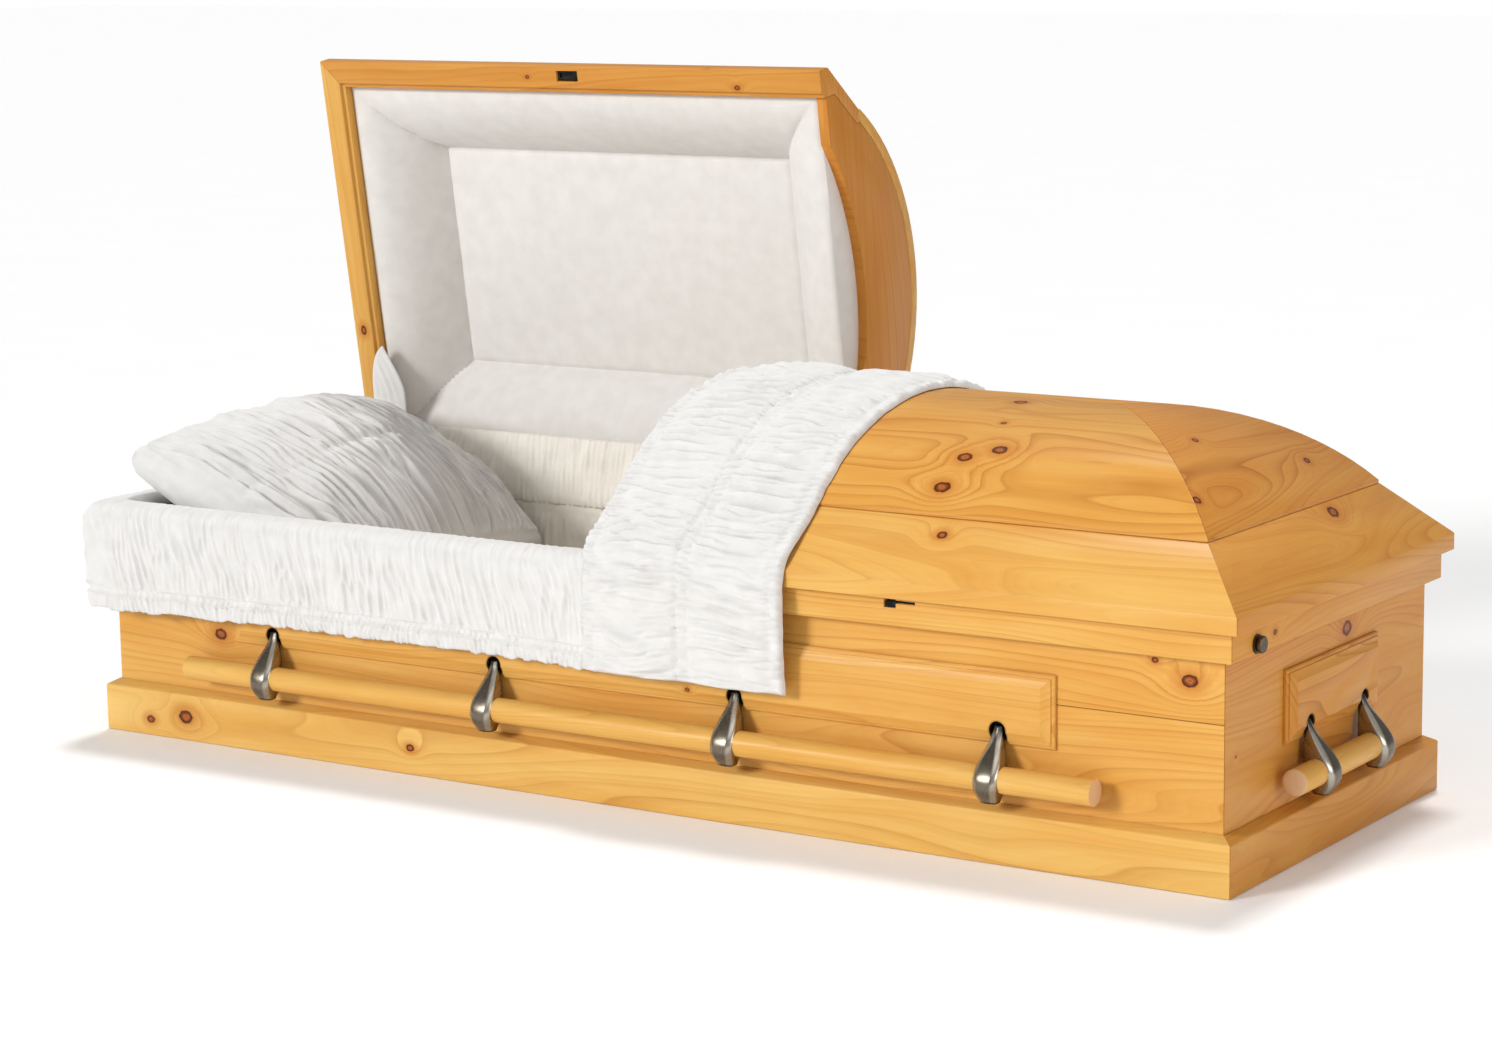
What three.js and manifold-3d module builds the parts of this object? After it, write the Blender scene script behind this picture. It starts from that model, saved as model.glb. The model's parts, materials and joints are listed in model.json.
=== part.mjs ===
import * as THREE from 'three';
import { mergeVertices } from 'three/addons/utils/BufferGeometryUtils.js';
import Module from 'manifold-3d';

// A half-couch pine coffin: +X towards the foot, -Y the side that faces the mourners, +Z up.
// The origin is the middle of the underside. All sizes are millimetres.
// A width is given as its distance out from the long middle plane. The same layer
// reaches RIDGE further along X, so every corner mitre and every hip runs at 45 degrees.

// Driving dimensions of the case
const RIDGE = 677.7;
const GLUE = 0.3;
const EASE = 1.4;
const BOARD = 19;
const BASE_OUT = 361.8;
const BASE_FACE_TOP = 76.7;
const BASE_TOP = 86.9;
const WALL_OUT = 343.4;
const WALL_TOP = 352;
const RIM_OUT = 362;
const RIM_LIP = 330;
const RIM_TOP = 371.4;

// Driving dimensions of the lids
const LID_OUT = 376.3;
const LID_BOTTOM = 372.9;
const FASCIA_TOP = 398.9;
const RAIL_WIDTH = 47;
const BEAD_WIDTH = 8;
const BEAD_STEP = 6;
const SLOPE_OUT = 290.3;
const SLOPE_TOP = 481;
const SLOPE_THICK = 31;
const CROWN_CENTRE = 240;
const CROWN_RADIUS = 380;
const CROWN_EDGE = 289.3;
const CROWN_STEPS = 24;
const HIP_STEPS = 14;
const SPLIT = -5;
const SPLIT_GAP = 2;
const ARCH_HALF = 250;
const ARCH_FOOT = 386;
const ARCH_TOP = 453;

// The lids turn about one line inside the back rim, and the head lid stands open
const HINGE_Y = 358.2;
const HINGE_Z = 356.2;
const OPEN_ANGLE = THREE.MathUtils.degToRad(81.3);
const HINGE_MIDDLE = 515;
const HINGE_LENGTH = 594;
const KNUCKLES = 5;
const KNUCKLE_RADIUS = 5;
const PIN_RADIUS = 2;
const LEAF = 2;

// Latches, keepers and the lock at the foot end
const LATCH_X = 514;
const NOTCH_WIDTH = 20;
const NOTCH_DEEP = 14;
const KEEPER_LONG = 44;
const KEEPER_WIDE = 18;
const KEEPER_DEEP = 11;
const LOCK_Y = -285;
const LOCK_Z = 346;
const LOCK_RADIUS = 14;

// Raised panels with their moulded edges, and the slots that the handle arms hang in
const PANEL_FOOT = 175;
const PANEL_HEAD = 283;
const PANEL_THICK = 14;
const SIDE_PANEL_HALF = 760;
const END_PANEL_HALF = 158;
const SLOT_WIDTH = 27;
const SLOT_TOP = 209;

// Swing handles: a wooden bar carried by cast arms
const BAR_RADIUS = 19.5;
const BAR_OUT = 374.5;
const BAR_Z = 129;
const SIDE_BAR_HALF = 840;
const END_BAR_NEAR = 185;
const END_BAR_FAR = 117;
const PIVOT_OUT = 350.4;
const PIVOT_Z = 197;
const PIVOT_RADIUS = 3;
const SIDE_ARMS = [-672, -224, 224, 672];
const END_ARMS = [-94, 94];

// Upholstery
const LINING_OUT = 323.9;
const LINING_IN = 312;
const LINING_TOP = 366;
const BED_TOP = 208;
const BED_OUT = 306;
const SKIRT_HEM = 215;
const SKIRT_BACK = 318;
const DISH_RIM = 396;
const DISH_PANEL = 495;
const DISH_PANEL_OUT = 200;
const DISH_HEADER_BORDER = 133;
const DISH_END_BORDER = 113;
const THROW_LEFT = -3;
const THROW_RIGHT = 332;
const THROW_LEAN = 32;
const THROW_HEM = 213;
const THROW_BACK = 250;
const PILLOW_LONG = 454;
const PILLOW_WIDE = 600;
const PILLOW_BORDER = 60;
const PILLOW_TILT = THREE.MathUtils.degToRad(28.2);

const wasm = await Module();
wasm.setup();

const group = new THREE.Group();

const finishes = {
  pine: { color: 0xd9a255, roughness: 0.42, metalness: 0 },
  dowel: { color: 0xdba860, roughness: 0.45, metalness: 0 },
  nickel: { color: 0x8f8678, roughness: 0.3, metalness: 1 },
  bronze: { color: 0x4a4236, roughness: 0.4, metalness: 1 },
  white: { color: 0xf3f1ee, roughness: 0.9, metalness: 0 },
  cream: { color: 0xe9e2d6, roughness: 0.9, metalness: 0 },
};

function addMesh(name, geometry, finish, parent = group) {
  const mesh = new THREE.Mesh(geometry, new THREE.MeshStandardMaterial(finishes[finish]));
  mesh.name = name;
  parent.add(mesh);
  return mesh;
}

// Closed meshes and cuts

// A geometry from points and triangles, turned so that its faces point out
function closed(points, triangles) {
  let volume = 0;
  const cross = new THREE.Vector3();
  for (const [a, b, c] of triangles) {
    volume += points[a].dot(cross.crossVectors(points[b], points[c]));
  }
  const index = triangles.flatMap(([a, b, c]) => (volume > 0 ? [a, b, c] : [a, c, b]));
  const geometry = new THREE.BufferGeometry();
  geometry.setAttribute('position', new THREE.Float32BufferAttribute(points.flatMap((p) => p.toArray()), 3));
  geometry.setIndex(index);
  return geometry;
}

// A solid through rings of points that all have the same count, closed by caps of the given triangles
function loft(rings, cap) {
  const count = rings[0].length;
  const triangles = [];
  for (let ring = 0; ring + 1 < rings.length; ring += 1) {
    for (let i = 0; i < count; i += 1) {
      const a = ring * count + i;
      const b = ring * count + ((i + 1) % count);
      triangles.push([a, b, b + count]);
      triangles.push([a, b + count, a + count]);
    }
  }
  const last = (rings.length - 1) * count;
  for (const [a, b, c] of cap) {
    triangles.push([a, c, b]);
    triangles.push([last + a, last + b, last + c]);
  }
  return closed(rings.flat(), triangles);
}

function capOf(section) {
  const flat = section.map(([u, v]) => new THREE.Vector2(u, v));
  return THREE.ShapeUtils.triangulateShape(flat, []).map((t) => orderLike(flat, t));
}

// Cap triangles follow the section's own direction of travel
function orderLike(flat, [a, b, c]) {
  const ahead = flat[b].clone().sub(flat[a]);
  const turn = ahead.cross(flat[c].clone().sub(flat[a]));
  const travel = Math.sign(THREE.ShapeUtils.area(flat));
  return Math.sign(turn) === travel ? [a, b, c] : [a, c, b];
}

function solidOf(geometry) {
  const bare = geometry.clone();
  bare.deleteAttribute('normal');
  bare.deleteAttribute('uv');
  const merged = mergeVertices(bare, 1e-4);
  const vertProperties = new Float32Array(merged.attributes.position.array);
  const triVerts = new Uint32Array(merged.index.array);
  return new wasm.Manifold(new wasm.Mesh({ numProp: 3, vertProperties, triVerts }));
}

function geometryOf(solid) {
  const mesh = solid.getMesh();
  const geometry = new THREE.BufferGeometry();
  geometry.setAttribute('position', new THREE.BufferAttribute(Float32Array.from(mesh.vertProperties), 3));
  geometry.setIndex(Array.from(mesh.triVerts));
  return geometry;
}

function cut(geometry, ...tools) {
  let solid = solidOf(geometry);
  for (const tool of tools) {
    solid = solid.subtract(solidOf(tool));
  }
  return geometryOf(solid);
}

function join(geometry, ...others) {
  let solid = solidOf(geometry);
  for (const other of others) {
    solid = solid.add(solidOf(other));
  }
  return geometryOf(solid);
}

function box(x0, x1, y0, y1, z0, z1) {
  const geometry = new THREE.BoxGeometry(x1 - x0, y1 - y0, z1 - z0);
  return geometry.translate((x0 + x1) / 2, (y0 + y1) / 2, (z0 + z1) / 2);
}

// A round bar along X
function bar(x0, x1, y, z, radius, sides) {
  const geometry = new THREE.CylinderGeometry(radius, radius, x1 - x0, sides);
  return geometry.rotateZ(Math.PI / 2).translate((x0 + x1) / 2, y, z);
}

// Takes the sharpness off every outward corner of a section
function eased(section, size = EASE) {
  const area = THREE.ShapeUtils.area(section.map(([u, v]) => new THREE.Vector2(u, v)));
  const result = [];
  section.forEach((corner, i) => {
    const point = new THREE.Vector2(...corner);
    const before = new THREE.Vector2(...section[(i + section.length - 1) % section.length]).sub(point);
    const after = new THREE.Vector2(...section[(i + 1) % section.length]).sub(point);
    const outward = Math.sign(after.cross(before)) === Math.sign(area);
    if (!outward || Math.min(before.length(), after.length()) < 3 * size) {
      result.push(corner);
      return;
    }
    result.push(point.clone().addScaledVector(before.normalize(), size).toArray());
    result.push(point.clone().addScaledVector(after.normalize(), size).toArray());
  });
  return result;
}

// Boards that run round the case. A section is a list of [out, z].

// side -1 is the front and 1 the back; an end is 'mitre' or the X of a square cut
function longBoard(section, side, headEnd = 'mitre', footEnd = 'mitre') {
  const reach = (out) => RIDGE + out - GLUE;
  const ring = (end, towards) =>
    section.map(([out, z]) => new THREE.Vector3(end === 'mitre' ? towards * reach(out) : end, side * out, z));
  return loft([ring(headEnd, -1), ring(footEnd, 1)], capOf(section));
}

// end -1 is the head and 1 the foot
function endBoard(section, end) {
  const ring = (side) =>
    section.map(([out, z]) => new THREE.Vector3(end * (RIDGE + out), side * (out - GLUE), z));
  return loft([ring(-1), ring(1)], capOf(section));
}

function fourSides(name, section, finish, cuts = {}) {
  const boards = {
    front: longBoard(section, -1),
    back: longBoard(section, 1),
    head: endBoard(section, -1),
    foot: endBoard(section, 1),
  };
  for (const [place, geometry] of Object.entries(boards)) {
    const tools = cuts[place] ?? [];
    addMesh(`${name}_${place}`, tools.length ? cut(geometry, ...tools) : geometry, finish);
  }
}

// Base moulding, walls and floor
const wallFace = WALL_OUT + GLUE;
const baseSection = [
  [wallFace, 0],
  [BASE_OUT, 0],
  [BASE_OUT, BASE_FACE_TOP],
  [wallFace, BASE_TOP],
];
fourSides('base_moulding', eased(baseSection), 'pine');

const wallIn = WALL_OUT - BOARD;
const wallSection = [
  [wallIn, 0],
  [WALL_OUT, 0],
  [WALL_OUT, WALL_TOP],
  [wallIn, WALL_TOP],
];
fourSides('wall', wallSection, 'pine');

const floorOut = wallIn - GLUE;
const floorHalf = floorOut + RIDGE;
addMesh('floor_board', box(-floorHalf, floorHalf, -floorOut, floorOut, 0, BOARD), 'pine');

// Rim rail on top of the walls, with its lip over their outer face
const rimSection = [
  [wallFace, RIM_LIP],
  [RIM_OUT, RIM_LIP],
  [RIM_OUT, RIM_TOP],
  [wallIn, RIM_TOP],
  [wallIn, WALL_TOP + GLUE],
  [wallFace, WALL_TOP + GLUE],
];

const over = 5;
const latchSlotLong = 32;
const latchSlotLow = 364;
const latchSlotHigh = 368.4;
const notchFloor = 357;

function latchCuts(x) {
  const back = -RIM_OUT + NOTCH_DEEP;
  const left = x - 26;
  return [
    box(left, left + NOTCH_WIDTH, -RIM_OUT - over, back, notchFloor, RIM_TOP + over),
    box(left, left + NOTCH_WIDTH + latchSlotLong, -RIM_OUT - over, back, latchSlotLow, latchSlotHigh),
  ];
}

const hingeBed = HINGE_Z - KNUCKLE_RADIUS - 1.7;
const hingeWall = HINGE_Y - KNUCKLE_RADIUS - LEAF - 0.2;

function hingeBedCut(x) {
  const half = HINGE_LENGTH / 2 + 1;
  return box(x - half, x + half, hingeWall - GLUE, RIM_OUT + over, hingeBed, RIM_TOP + over);
}

fourSides('rim_rail', eased(rimSection), 'pine', {
  front: [...latchCuts(-LATCH_X), ...latchCuts(LATCH_X)],
  back: [hingeBedCut(-HINGE_MIDDLE), hingeBedCut(HINGE_MIDDLE)],
});

// A latch hook in its notch, with the draw bar that runs in the slot beside it
function latch(x) {
  const left = x - 26;
  const play = 0.6;
  const back = -RIM_OUT + NOTCH_DEEP - play;
  const hook = box(left + play, left + NOTCH_WIDTH - play, -RIM_OUT + 3, back, notchFloor + play, 366);
  const draw = box(left + 8, left + NOTCH_WIDTH + latchSlotLong - 2, -RIM_OUT + 5, back,
    latchSlotLow + play, latchSlotHigh - play);
  return join(hook, draw);
}

addMesh('head_latch', latch(-LATCH_X), 'bronze');
addMesh('foot_latch', latch(LATCH_X), 'bronze');

// The lock at the foot end: a flange, a groove and a cap
const lockProfile = [
  [0, 0],
  [LOCK_RADIUS, 0],
  [LOCK_RADIUS, 3],
  [LOCK_RADIUS - 4, 4.4],
  [LOCK_RADIUS - 4, 6],
  [LOCK_RADIUS - 1.5, 6.6],
  [LOCK_RADIUS - 1.5, 10],
  [LOCK_RADIUS - 3, 11.5],
  [0, 12],
].map(([r, h]) => new THREE.Vector2(r, h));
const lock = new THREE.LatheGeometry(lockProfile, 16).rotateZ(-Math.PI / 2);
addMesh('end_lock', lock.translate(RIDGE + RIM_OUT + GLUE, LOCK_Y, LOCK_Z), 'bronze');

// Raised panels

// Inset from the panel's edge and height above the wall, from the outer bead to the field
const panelSteps = [
  [0, 0],
  [0, 4],
  [2, 5.8],
  [5.4, 6],
  [5.4, 8],
  [10, 9.2],
  [15.5, 12],
  [19, PANEL_THICK],
];

// A slot with a round top, open at the panel's lower edge, and the bore of its pivot pin.
// Both are made for a panel that lies in X and Z with its back at Y = 0 and its face at -Y.
function armSlot(x) {
  const half = SLOT_WIDTH / 2;
  const shape = new THREE.Shape();
  shape.moveTo(x - half, PANEL_FOOT - over);
  shape.lineTo(x + half, PANEL_FOOT - over);
  shape.lineTo(x + half, SLOT_TOP - half);
  shape.absarc(x, SLOT_TOP - half, half, 0, Math.PI);
  const depth = PANEL_THICK + 2 * over;
  const slot = new THREE.ExtrudeGeometry(shape, { depth, bevelEnabled: false, curveSegments: 4 });
  slot.rotateX(Math.PI / 2).translate(0, over, 0);
  return slot;
}

function pivotBore(x) {
  const reach = SLOT_WIDTH / 2 + 5.5;
  return bar(x - reach, x + reach, -(PIVOT_OUT - wallFace), PIVOT_Z, PIVOT_RADIUS + 0.7, 6);
}

function raisedPanel(halfLength, armPlaces) {
  const rings = panelSteps.map(([inset, height]) => {
    const x = halfLength - inset;
    const low = PANEL_FOOT + inset;
    const high = PANEL_HEAD - inset;
    return [[-x, low], [x, low], [x, high], [-x, high]].map(([u, v]) => new THREE.Vector3(u, -height, v));
  });
  const blank = loft(rings, [[0, 1, 2], [0, 2, 3]]);
  return cut(blank, ...armPlaces.map(armSlot), ...armPlaces.map(pivotBore));
}

// Swing handles, each drawn for the front and turned to its side

// Height, centre out from the middle plane, half width along the case and half depth
const armSections = [
  [203.2, 350.4, 4, 2.6],
  [199.5, 350.4, 7, 5.8],
  [188, 352.6, 8.6, 8.2],
  [172, 359.5, 12.4, 12.6],
  [153, 367, 18.4, 22.4],
  [131, 373.3, 20.2, 28.6],
  [113, 374.5, 18.2, 26],
  [97, 374.8, 13, 14.4],
  [94.4, 374.8, 11.8, 12.6],
];

// Seen from above: a flat face with a slanted facet on each side, and a rounder back
const armOutline = [
  [-0.62, -1],
  [0.62, -1],
  [1, -0.7],
  [1, 0.2],
  [0.6, 0.78],
  [-0.6, 0.78],
  [-1, 0.2],
  [-1, -0.7],
];

function handleArm(x) {
  const rings = armSections.map(([z, out, halfWide, halfDeep]) =>
    armOutline.map(([u, v]) => new THREE.Vector3(x + u * halfWide, -out + v * halfDeep, z)));
  const body = loft(rings, capOf(armOutline));
  const pin = bar(x - SLOT_WIDTH / 2 - 4.5, x + SLOT_WIDTH / 2 + 4.5, -PIVOT_OUT, PIVOT_Z, PIVOT_RADIUS, 6);
  const bore = bar(x - 40, x + 40, -BAR_OUT, BAR_Z, BAR_RADIUS + GLUE, 12);
  return cut(join(body, pin), bore);
}

function handleBar([from, to]) {
  const ease = 2;
  const profile = [
    [0, from],
    [BAR_RADIUS - ease, from],
    [BAR_RADIUS, from + ease],
    [BAR_RADIUS, to - ease],
    [BAR_RADIUS - ease, to],
    [0, to],
  ].map(([r, h]) => new THREE.Vector2(r, h));
  const rod = new THREE.LatheGeometry(profile, 12).rotateZ(-Math.PI / 2);
  return rod.translate(0, -BAR_OUT, BAR_Z);
}

// Quarter turns that carry a piece drawn at the front to each side of the case
const sideBar = [-SIDE_BAR_HALF, SIDE_BAR_HALF];
const headBar = [-END_BAR_FAR, END_BAR_NEAR];
const footBar = [-END_BAR_NEAR, END_BAR_FAR];
const sides = {
  front: { turn: 0, shift: 0, panelHalf: SIDE_PANEL_HALF, bar: sideBar, arms: SIDE_ARMS },
  back: { turn: 2, shift: 0, panelHalf: SIDE_PANEL_HALF, bar: sideBar, arms: SIDE_ARMS },
  head: { turn: 3, shift: -RIDGE, panelHalf: END_PANEL_HALF, bar: headBar, arms: END_ARMS },
  foot: { turn: 1, shift: RIDGE, panelHalf: END_PANEL_HALF, bar: footBar, arms: END_ARMS },
};

for (const [place, side] of Object.entries(sides)) {
  const turned = (geometry) => geometry.rotateZ((side.turn * Math.PI) / 2).translate(side.shift, 0, 0);
  const panel = raisedPanel(side.panelHalf, side.arms).translate(0, -wallFace, 0);
  addMesh(`panel_${place}`, turned(panel), 'pine');
  side.arms.forEach((x, i) => {
    addMesh(`arm_${place}_${i + 1}`, turned(handleArm(x)), 'nickel');
  });
  addMesh(`bar_${place}`, turned(handleBar(side.bar)), 'dowel');
}

// Lids

// Fascia, lower slope and the bead along the inner edge, all one moulded rail
const railInner = LID_OUT - RAIL_WIDTH;
const slopeRise = (SLOPE_TOP - FASCIA_TOP) / (LID_OUT - SLOPE_OUT);
const slopeInnerEnd = SLOPE_OUT - 22;
const innerSlopeZ = (out) => FASCIA_TOP + (LID_OUT - SLOPE_THICK - out) * slopeRise;
const railSection = [
  [LID_OUT, LID_BOTTOM],
  [LID_OUT, FASCIA_TOP],
  [SLOPE_OUT, SLOPE_TOP],
  [slopeInnerEnd, SLOPE_TOP],
  [slopeInnerEnd, innerSlopeZ(slopeInnerEnd)],
  [railInner, innerSlopeZ(railInner)],
  [railInner, LID_BOTTOM + BEAD_STEP],
  [railInner + BEAD_WIDTH, LID_BOTTOM + BEAD_STEP],
  [railInner + BEAD_WIDTH, LID_BOTTOM],
];

const crownInside = CROWN_RADIUS - BOARD;
const crownFoot = SLOPE_TOP + GLUE;
const crownZ = (out, radius) => CROWN_CENTRE + Math.sqrt(radius * radius - out * out);
const crownInnerEdge = Math.sqrt(crownInside ** 2 - (crownFoot - CROWN_CENTRE) ** 2);

// Points over the arc from -reach to reach, evenly spaced by angle
function arcPoints(from, to, radius, steps) {
  const start = Math.asin(from / radius);
  const end = Math.asin(to / radius);
  return Array.from({ length: steps + 1 }, (_, i) => {
    const out = radius * Math.sin(start + ((end - start) * i) / steps);
    return [out, crownZ(out, radius)];
  });
}

// Cap of a curved band whose first half is its outer edge and second half its inner edge, reversed
function bandCap(count) {
  const triangles = [];
  for (let i = 0; i + 1 < count / 2; i += 1) {
    const inner = count - 1 - i;
    triangles.push([i, i + 1, inner]);
    triangles.push([i + 1, inner - 1, inner]);
  }
  return triangles;
}

// The barrel of the crown, from the split to the two hips; towards is -1 for the head lid
function crownBarrel(splitX, towards) {
  const outer = arcPoints(-CROWN_EDGE, CROWN_EDGE, CROWN_RADIUS, CROWN_STEPS);
  const inner = arcPoints(-crownInnerEdge, crownInnerEdge, crownInside, CROWN_STEPS).reverse();
  const band = [[-CROWN_EDGE, crownFoot], ...outer, [CROWN_EDGE, crownFoot], ...padded(inner)];
  const atSplit = band.map(([y, z]) => new THREE.Vector3(splitX, y, z));
  const atHip = band.map(([y, z]) => new THREE.Vector3(towards * (RIDGE + Math.abs(y)), y, z));
  return loft([atSplit, atHip], bandCap(band.length));
}

// Gives the inner edge as many points as the outer edge with its two foot corners
function padded(inner) {
  const first = inner[0];
  const last = inner[inner.length - 1];
  const nearFirst = inner[1];
  const nearLast = inner[inner.length - 2];
  const middle = (a, b) => {
    const y = (a[0] + b[0]) / 2;
    return [y, crownZ(y, crownInside)];
  };
  return [first, middle(first, nearFirst), ...inner.slice(1, -1), middle(nearLast, last), last];
}

// The curved end of the crown, between the hips
function crownHip(end) {
  const tip = 1.2;
  const outer = arcPoints(tip, CROWN_EDGE, CROWN_RADIUS, HIP_STEPS);
  const inner = arcPoints(tip, crownInnerEdge, crownInside, HIP_STEPS).reverse();
  const section = [...outer, [CROWN_EDGE, crownFoot], ...inner];
  const corner = (side, out, z) => new THREE.Vector3(end * (RIDGE + out), side * (out - GLUE * 2), z);
  const ring = (side) => section.map(([out, z]) => corner(side, out, z));
  return loft([ring(-1), ring(1)], capOf(section));
}

// The board that closes a lid at the split, with its arched lower edge
function headerBoard(splitX, towards) {
  const fit = 0.4;
  const shoulder = railInner - fit;
  const waist = slopeInnerEnd - fit;
  const arcRadius = crownInside - fit;
  const arcEdge = Math.min(waist, Math.sqrt(arcRadius ** 2 - (crownFoot - CROWN_CENTRE) ** 2));
  const rise = ARCH_TOP - ARCH_FOOT;
  const archRadius = (ARCH_HALF ** 2 + rise ** 2) / (2 * rise);
  const archSpan = Math.asin(ARCH_HALF / archRadius);
  const start = Math.asin(arcEdge / arcRadius);
  const shape = new THREE.Shape();
  shape.moveTo(shoulder, ARCH_FOOT);
  shape.lineTo(shoulder, innerSlopeZ(railInner) - fit * 1.6);
  shape.lineTo(waist, innerSlopeZ(slopeInnerEnd) - fit * 1.6);
  shape.absarc(0, CROWN_CENTRE, arcRadius, Math.PI / 2 - start, Math.PI / 2 + start);
  shape.lineTo(-waist, innerSlopeZ(slopeInnerEnd) - fit * 1.6);
  shape.lineTo(-shoulder, innerSlopeZ(railInner) - fit * 1.6);
  shape.lineTo(-shoulder, ARCH_FOOT);
  shape.absarc(0, ARCH_TOP - archRadius, archRadius, Math.PI / 2 + archSpan, Math.PI / 2 - archSpan, true);
  const board = new THREE.ExtrudeGeometry(shape, { depth: BOARD, bevelEnabled: false, curveSegments: 8 });
  board.rotateX(Math.PI / 2).rotateZ(Math.PI / 2);
  return board.translate(towards > 0 ? splitX : splitX - BOARD, 0, 0);
}

// A rectangular ring of a lid lining; depths are its distances in from the header and the end board
function dishRing(header, end, out, z, towards) {
  const near = towards * header;
  const far = towards * end;
  return [[near, -out], [far, -out], [far, out], [near, out]].map(([x, y]) => new THREE.Vector3(x, y, z));
}

// The padded lining of a lid: borders that rise from the rails to a flat panel
function lidLining(splitX, towards) {
  const header = towards * splitX + BOARD + 1.5;
  const end = RIDGE + railInner - 1;
  const out = railInner - 1;
  const back = 6;
  const panel = [header + DISH_HEADER_BORDER, end - DISH_END_BORDER, DISH_PANEL_OUT];
  const middle = (edge, inner) => edge + (inner - edge) * 0.52;
  const midway = [middle(header, panel[0]), middle(end, panel[1]), middle(out, panel[2])];
  const midZ = DISH_RIM + (DISH_PANEL - DISH_RIM) * 0.62;
  const rings = [
    dishRing(...panel, DISH_PANEL, towards),
    dishRing(...midway, midZ, towards),
    dishRing(header, end, out, DISH_RIM, towards),
    dishRing(header, end, out, DISH_RIM + 14, towards),
    dishRing(...midway, midZ + back, towards),
    dishRing(...panel, DISH_PANEL + back, towards),
  ];
  return loft(rings, [[0, 1, 2], [0, 2, 3]]);
}

function keeperMortise(x) {
  const near = -LID_OUT + 9;
  return box(x - KEEPER_LONG / 2, x + KEEPER_LONG / 2, near, near + KEEPER_WIDE,
    LID_BOTTOM - over, LID_BOTTOM + KEEPER_DEEP);
}

const leafInner = HINGE_Y - 24;
const leafOuter = HINGE_Y + 6;

function leafMortise(x) {
  const half = HINGE_LENGTH / 2 + GLUE;
  const top = LID_BOTTOM + LEAF + GLUE;
  return box(x - half, x + half, leafInner - GLUE, leafOuter + GLUE, LID_BOTTOM - over, top);
}

// Start and end of each knuckle along X
function knuckleSpans(x) {
  const step = HINGE_LENGTH / KNUCKLES;
  const start = x - HINGE_LENGTH / 2;
  return Array.from({ length: KNUCKLES }, (_, i) => [start + step * i + 0.5, start + step * (i + 1) - 0.5]);
}

// The fixed leaf stands in its bed in the rim and holds the pin
function hingeFixed(x) {
  const half = HINGE_LENGTH / 2;
  const plate = box(x - half, x + half, hingeWall, hingeWall + LEAF, hingeBed + GLUE, RIM_TOP - 1);
  const pin = bar(x - half + 0.5, x + half - 0.5, HINGE_Y, HINGE_Z, PIN_RADIUS, 8);
  const knuckles = knuckleSpans(x)
    .filter((_, i) => i % 2 === 0)
    .flatMap(([a, b]) => [
      bar(a, b, HINGE_Y, HINGE_Z, KNUCKLE_RADIUS, 8),
      box(a, b, hingeWall + 0.5, HINGE_Y, HINGE_Z - 1.5, HINGE_Z + 1.5),
    ]);
  return join(plate, pin, ...knuckles);
}

// The moving leaf lies in the lid's back rail, with arms down to its knuckles
function hingeMoving(x) {
  const half = HINGE_LENGTH / 2;
  const plate = box(x - half, x + half, leafInner, leafOuter, LID_BOTTOM, LID_BOTTOM + LEAF);
  const spans = knuckleSpans(x).filter((_, i) => i % 2 === 1);
  const knuckles = spans.flatMap(([a, b]) => [
    bar(a, b, HINGE_Y, HINGE_Z, KNUCKLE_RADIUS, 8),
    box(a, b, HINGE_Y - 1.5, HINGE_Y + 1.5, HINGE_Z, LID_BOTTOM + 1),
  ]);
  const bores = spans.map(([a, b]) => bar(a - 1, b + 1, HINGE_Y, HINGE_Z, PIN_RADIUS + 0.6, 8));
  return cut(join(plate, ...knuckles), ...bores);
}

function makeLid(name, splitX, towards, parent) {
  const middle = towards * HINGE_MIDDLE;
  const headEnd = towards < 0 ? 'mitre' : splitX;
  const footEnd = towards < 0 ? splitX : 'mitre';
  const rail = eased(railSection, 1);
  const frontRail = cut(longBoard(rail, -1, headEnd, footEnd), keeperMortise(towards * LATCH_X));
  const backRail = cut(longBoard(rail, 1, headEnd, footEnd), leafMortise(middle));
  addMesh(`${name}_front_rail`, frontRail, 'pine', parent);
  addMesh(`${name}_back_rail`, backRail, 'pine', parent);
  addMesh(`${name}_end_rail`, endBoard(rail, towards), 'pine', parent);
  addMesh(`${name}_crown`, crownBarrel(splitX, towards), 'pine', parent);
  addMesh(`${name}_hip`, crownHip(towards), 'pine', parent);
  addMesh(`${name}_header`, headerBoard(splitX, towards), 'pine', parent);
  addMesh(`${name}_lining`, lidLining(splitX, towards), 'white', parent);
  addMesh(`${name}_hinge_leaf`, hingeMoving(middle), 'bronze', parent);
}

// Everything in openLid turns back about the hinge line
const openLid = new THREE.Group();
openLid.position.set(0, HINGE_Y, HINGE_Z);
openLid.rotation.x = -OPEN_ANGLE;
const openLidPieces = new THREE.Group();
openLidPieces.position.set(0, -HINGE_Y, -HINGE_Z);
openLid.add(openLidPieces);
group.add(openLid);

makeLid('head_lid', SPLIT - SPLIT_GAP / 2, -1, openLidPieces);
makeLid('foot_lid', SPLIT + SPLIT_GAP / 2, 1, group);
addMesh('head_hinge_plate', hingeFixed(-HINGE_MIDDLE), 'bronze');
addMesh('foot_hinge_plate', hingeFixed(HINGE_MIDDLE), 'bronze');

// Upholstery

// A ring round a rectangle with rounded corners
function roundedRing(halfLong, halfWide, radius, place) {
  const corners = [[1, 1, 0], [-1, 1, 1], [-1, -1, 2], [1, -1, 3]];
  const steps = 3;
  return corners.flatMap(([sx, sy, quarter]) =>
    Array.from({ length: steps + 1 }, (_, i) => {
      const angle = (quarter + i / steps) * (Math.PI / 2);
      const x = sx * (halfLong - radius) + radius * Math.cos(angle);
      const y = sy * (halfWide - radius) + radius * Math.sin(angle);
      return place(x, y);
    }));
}

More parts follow.
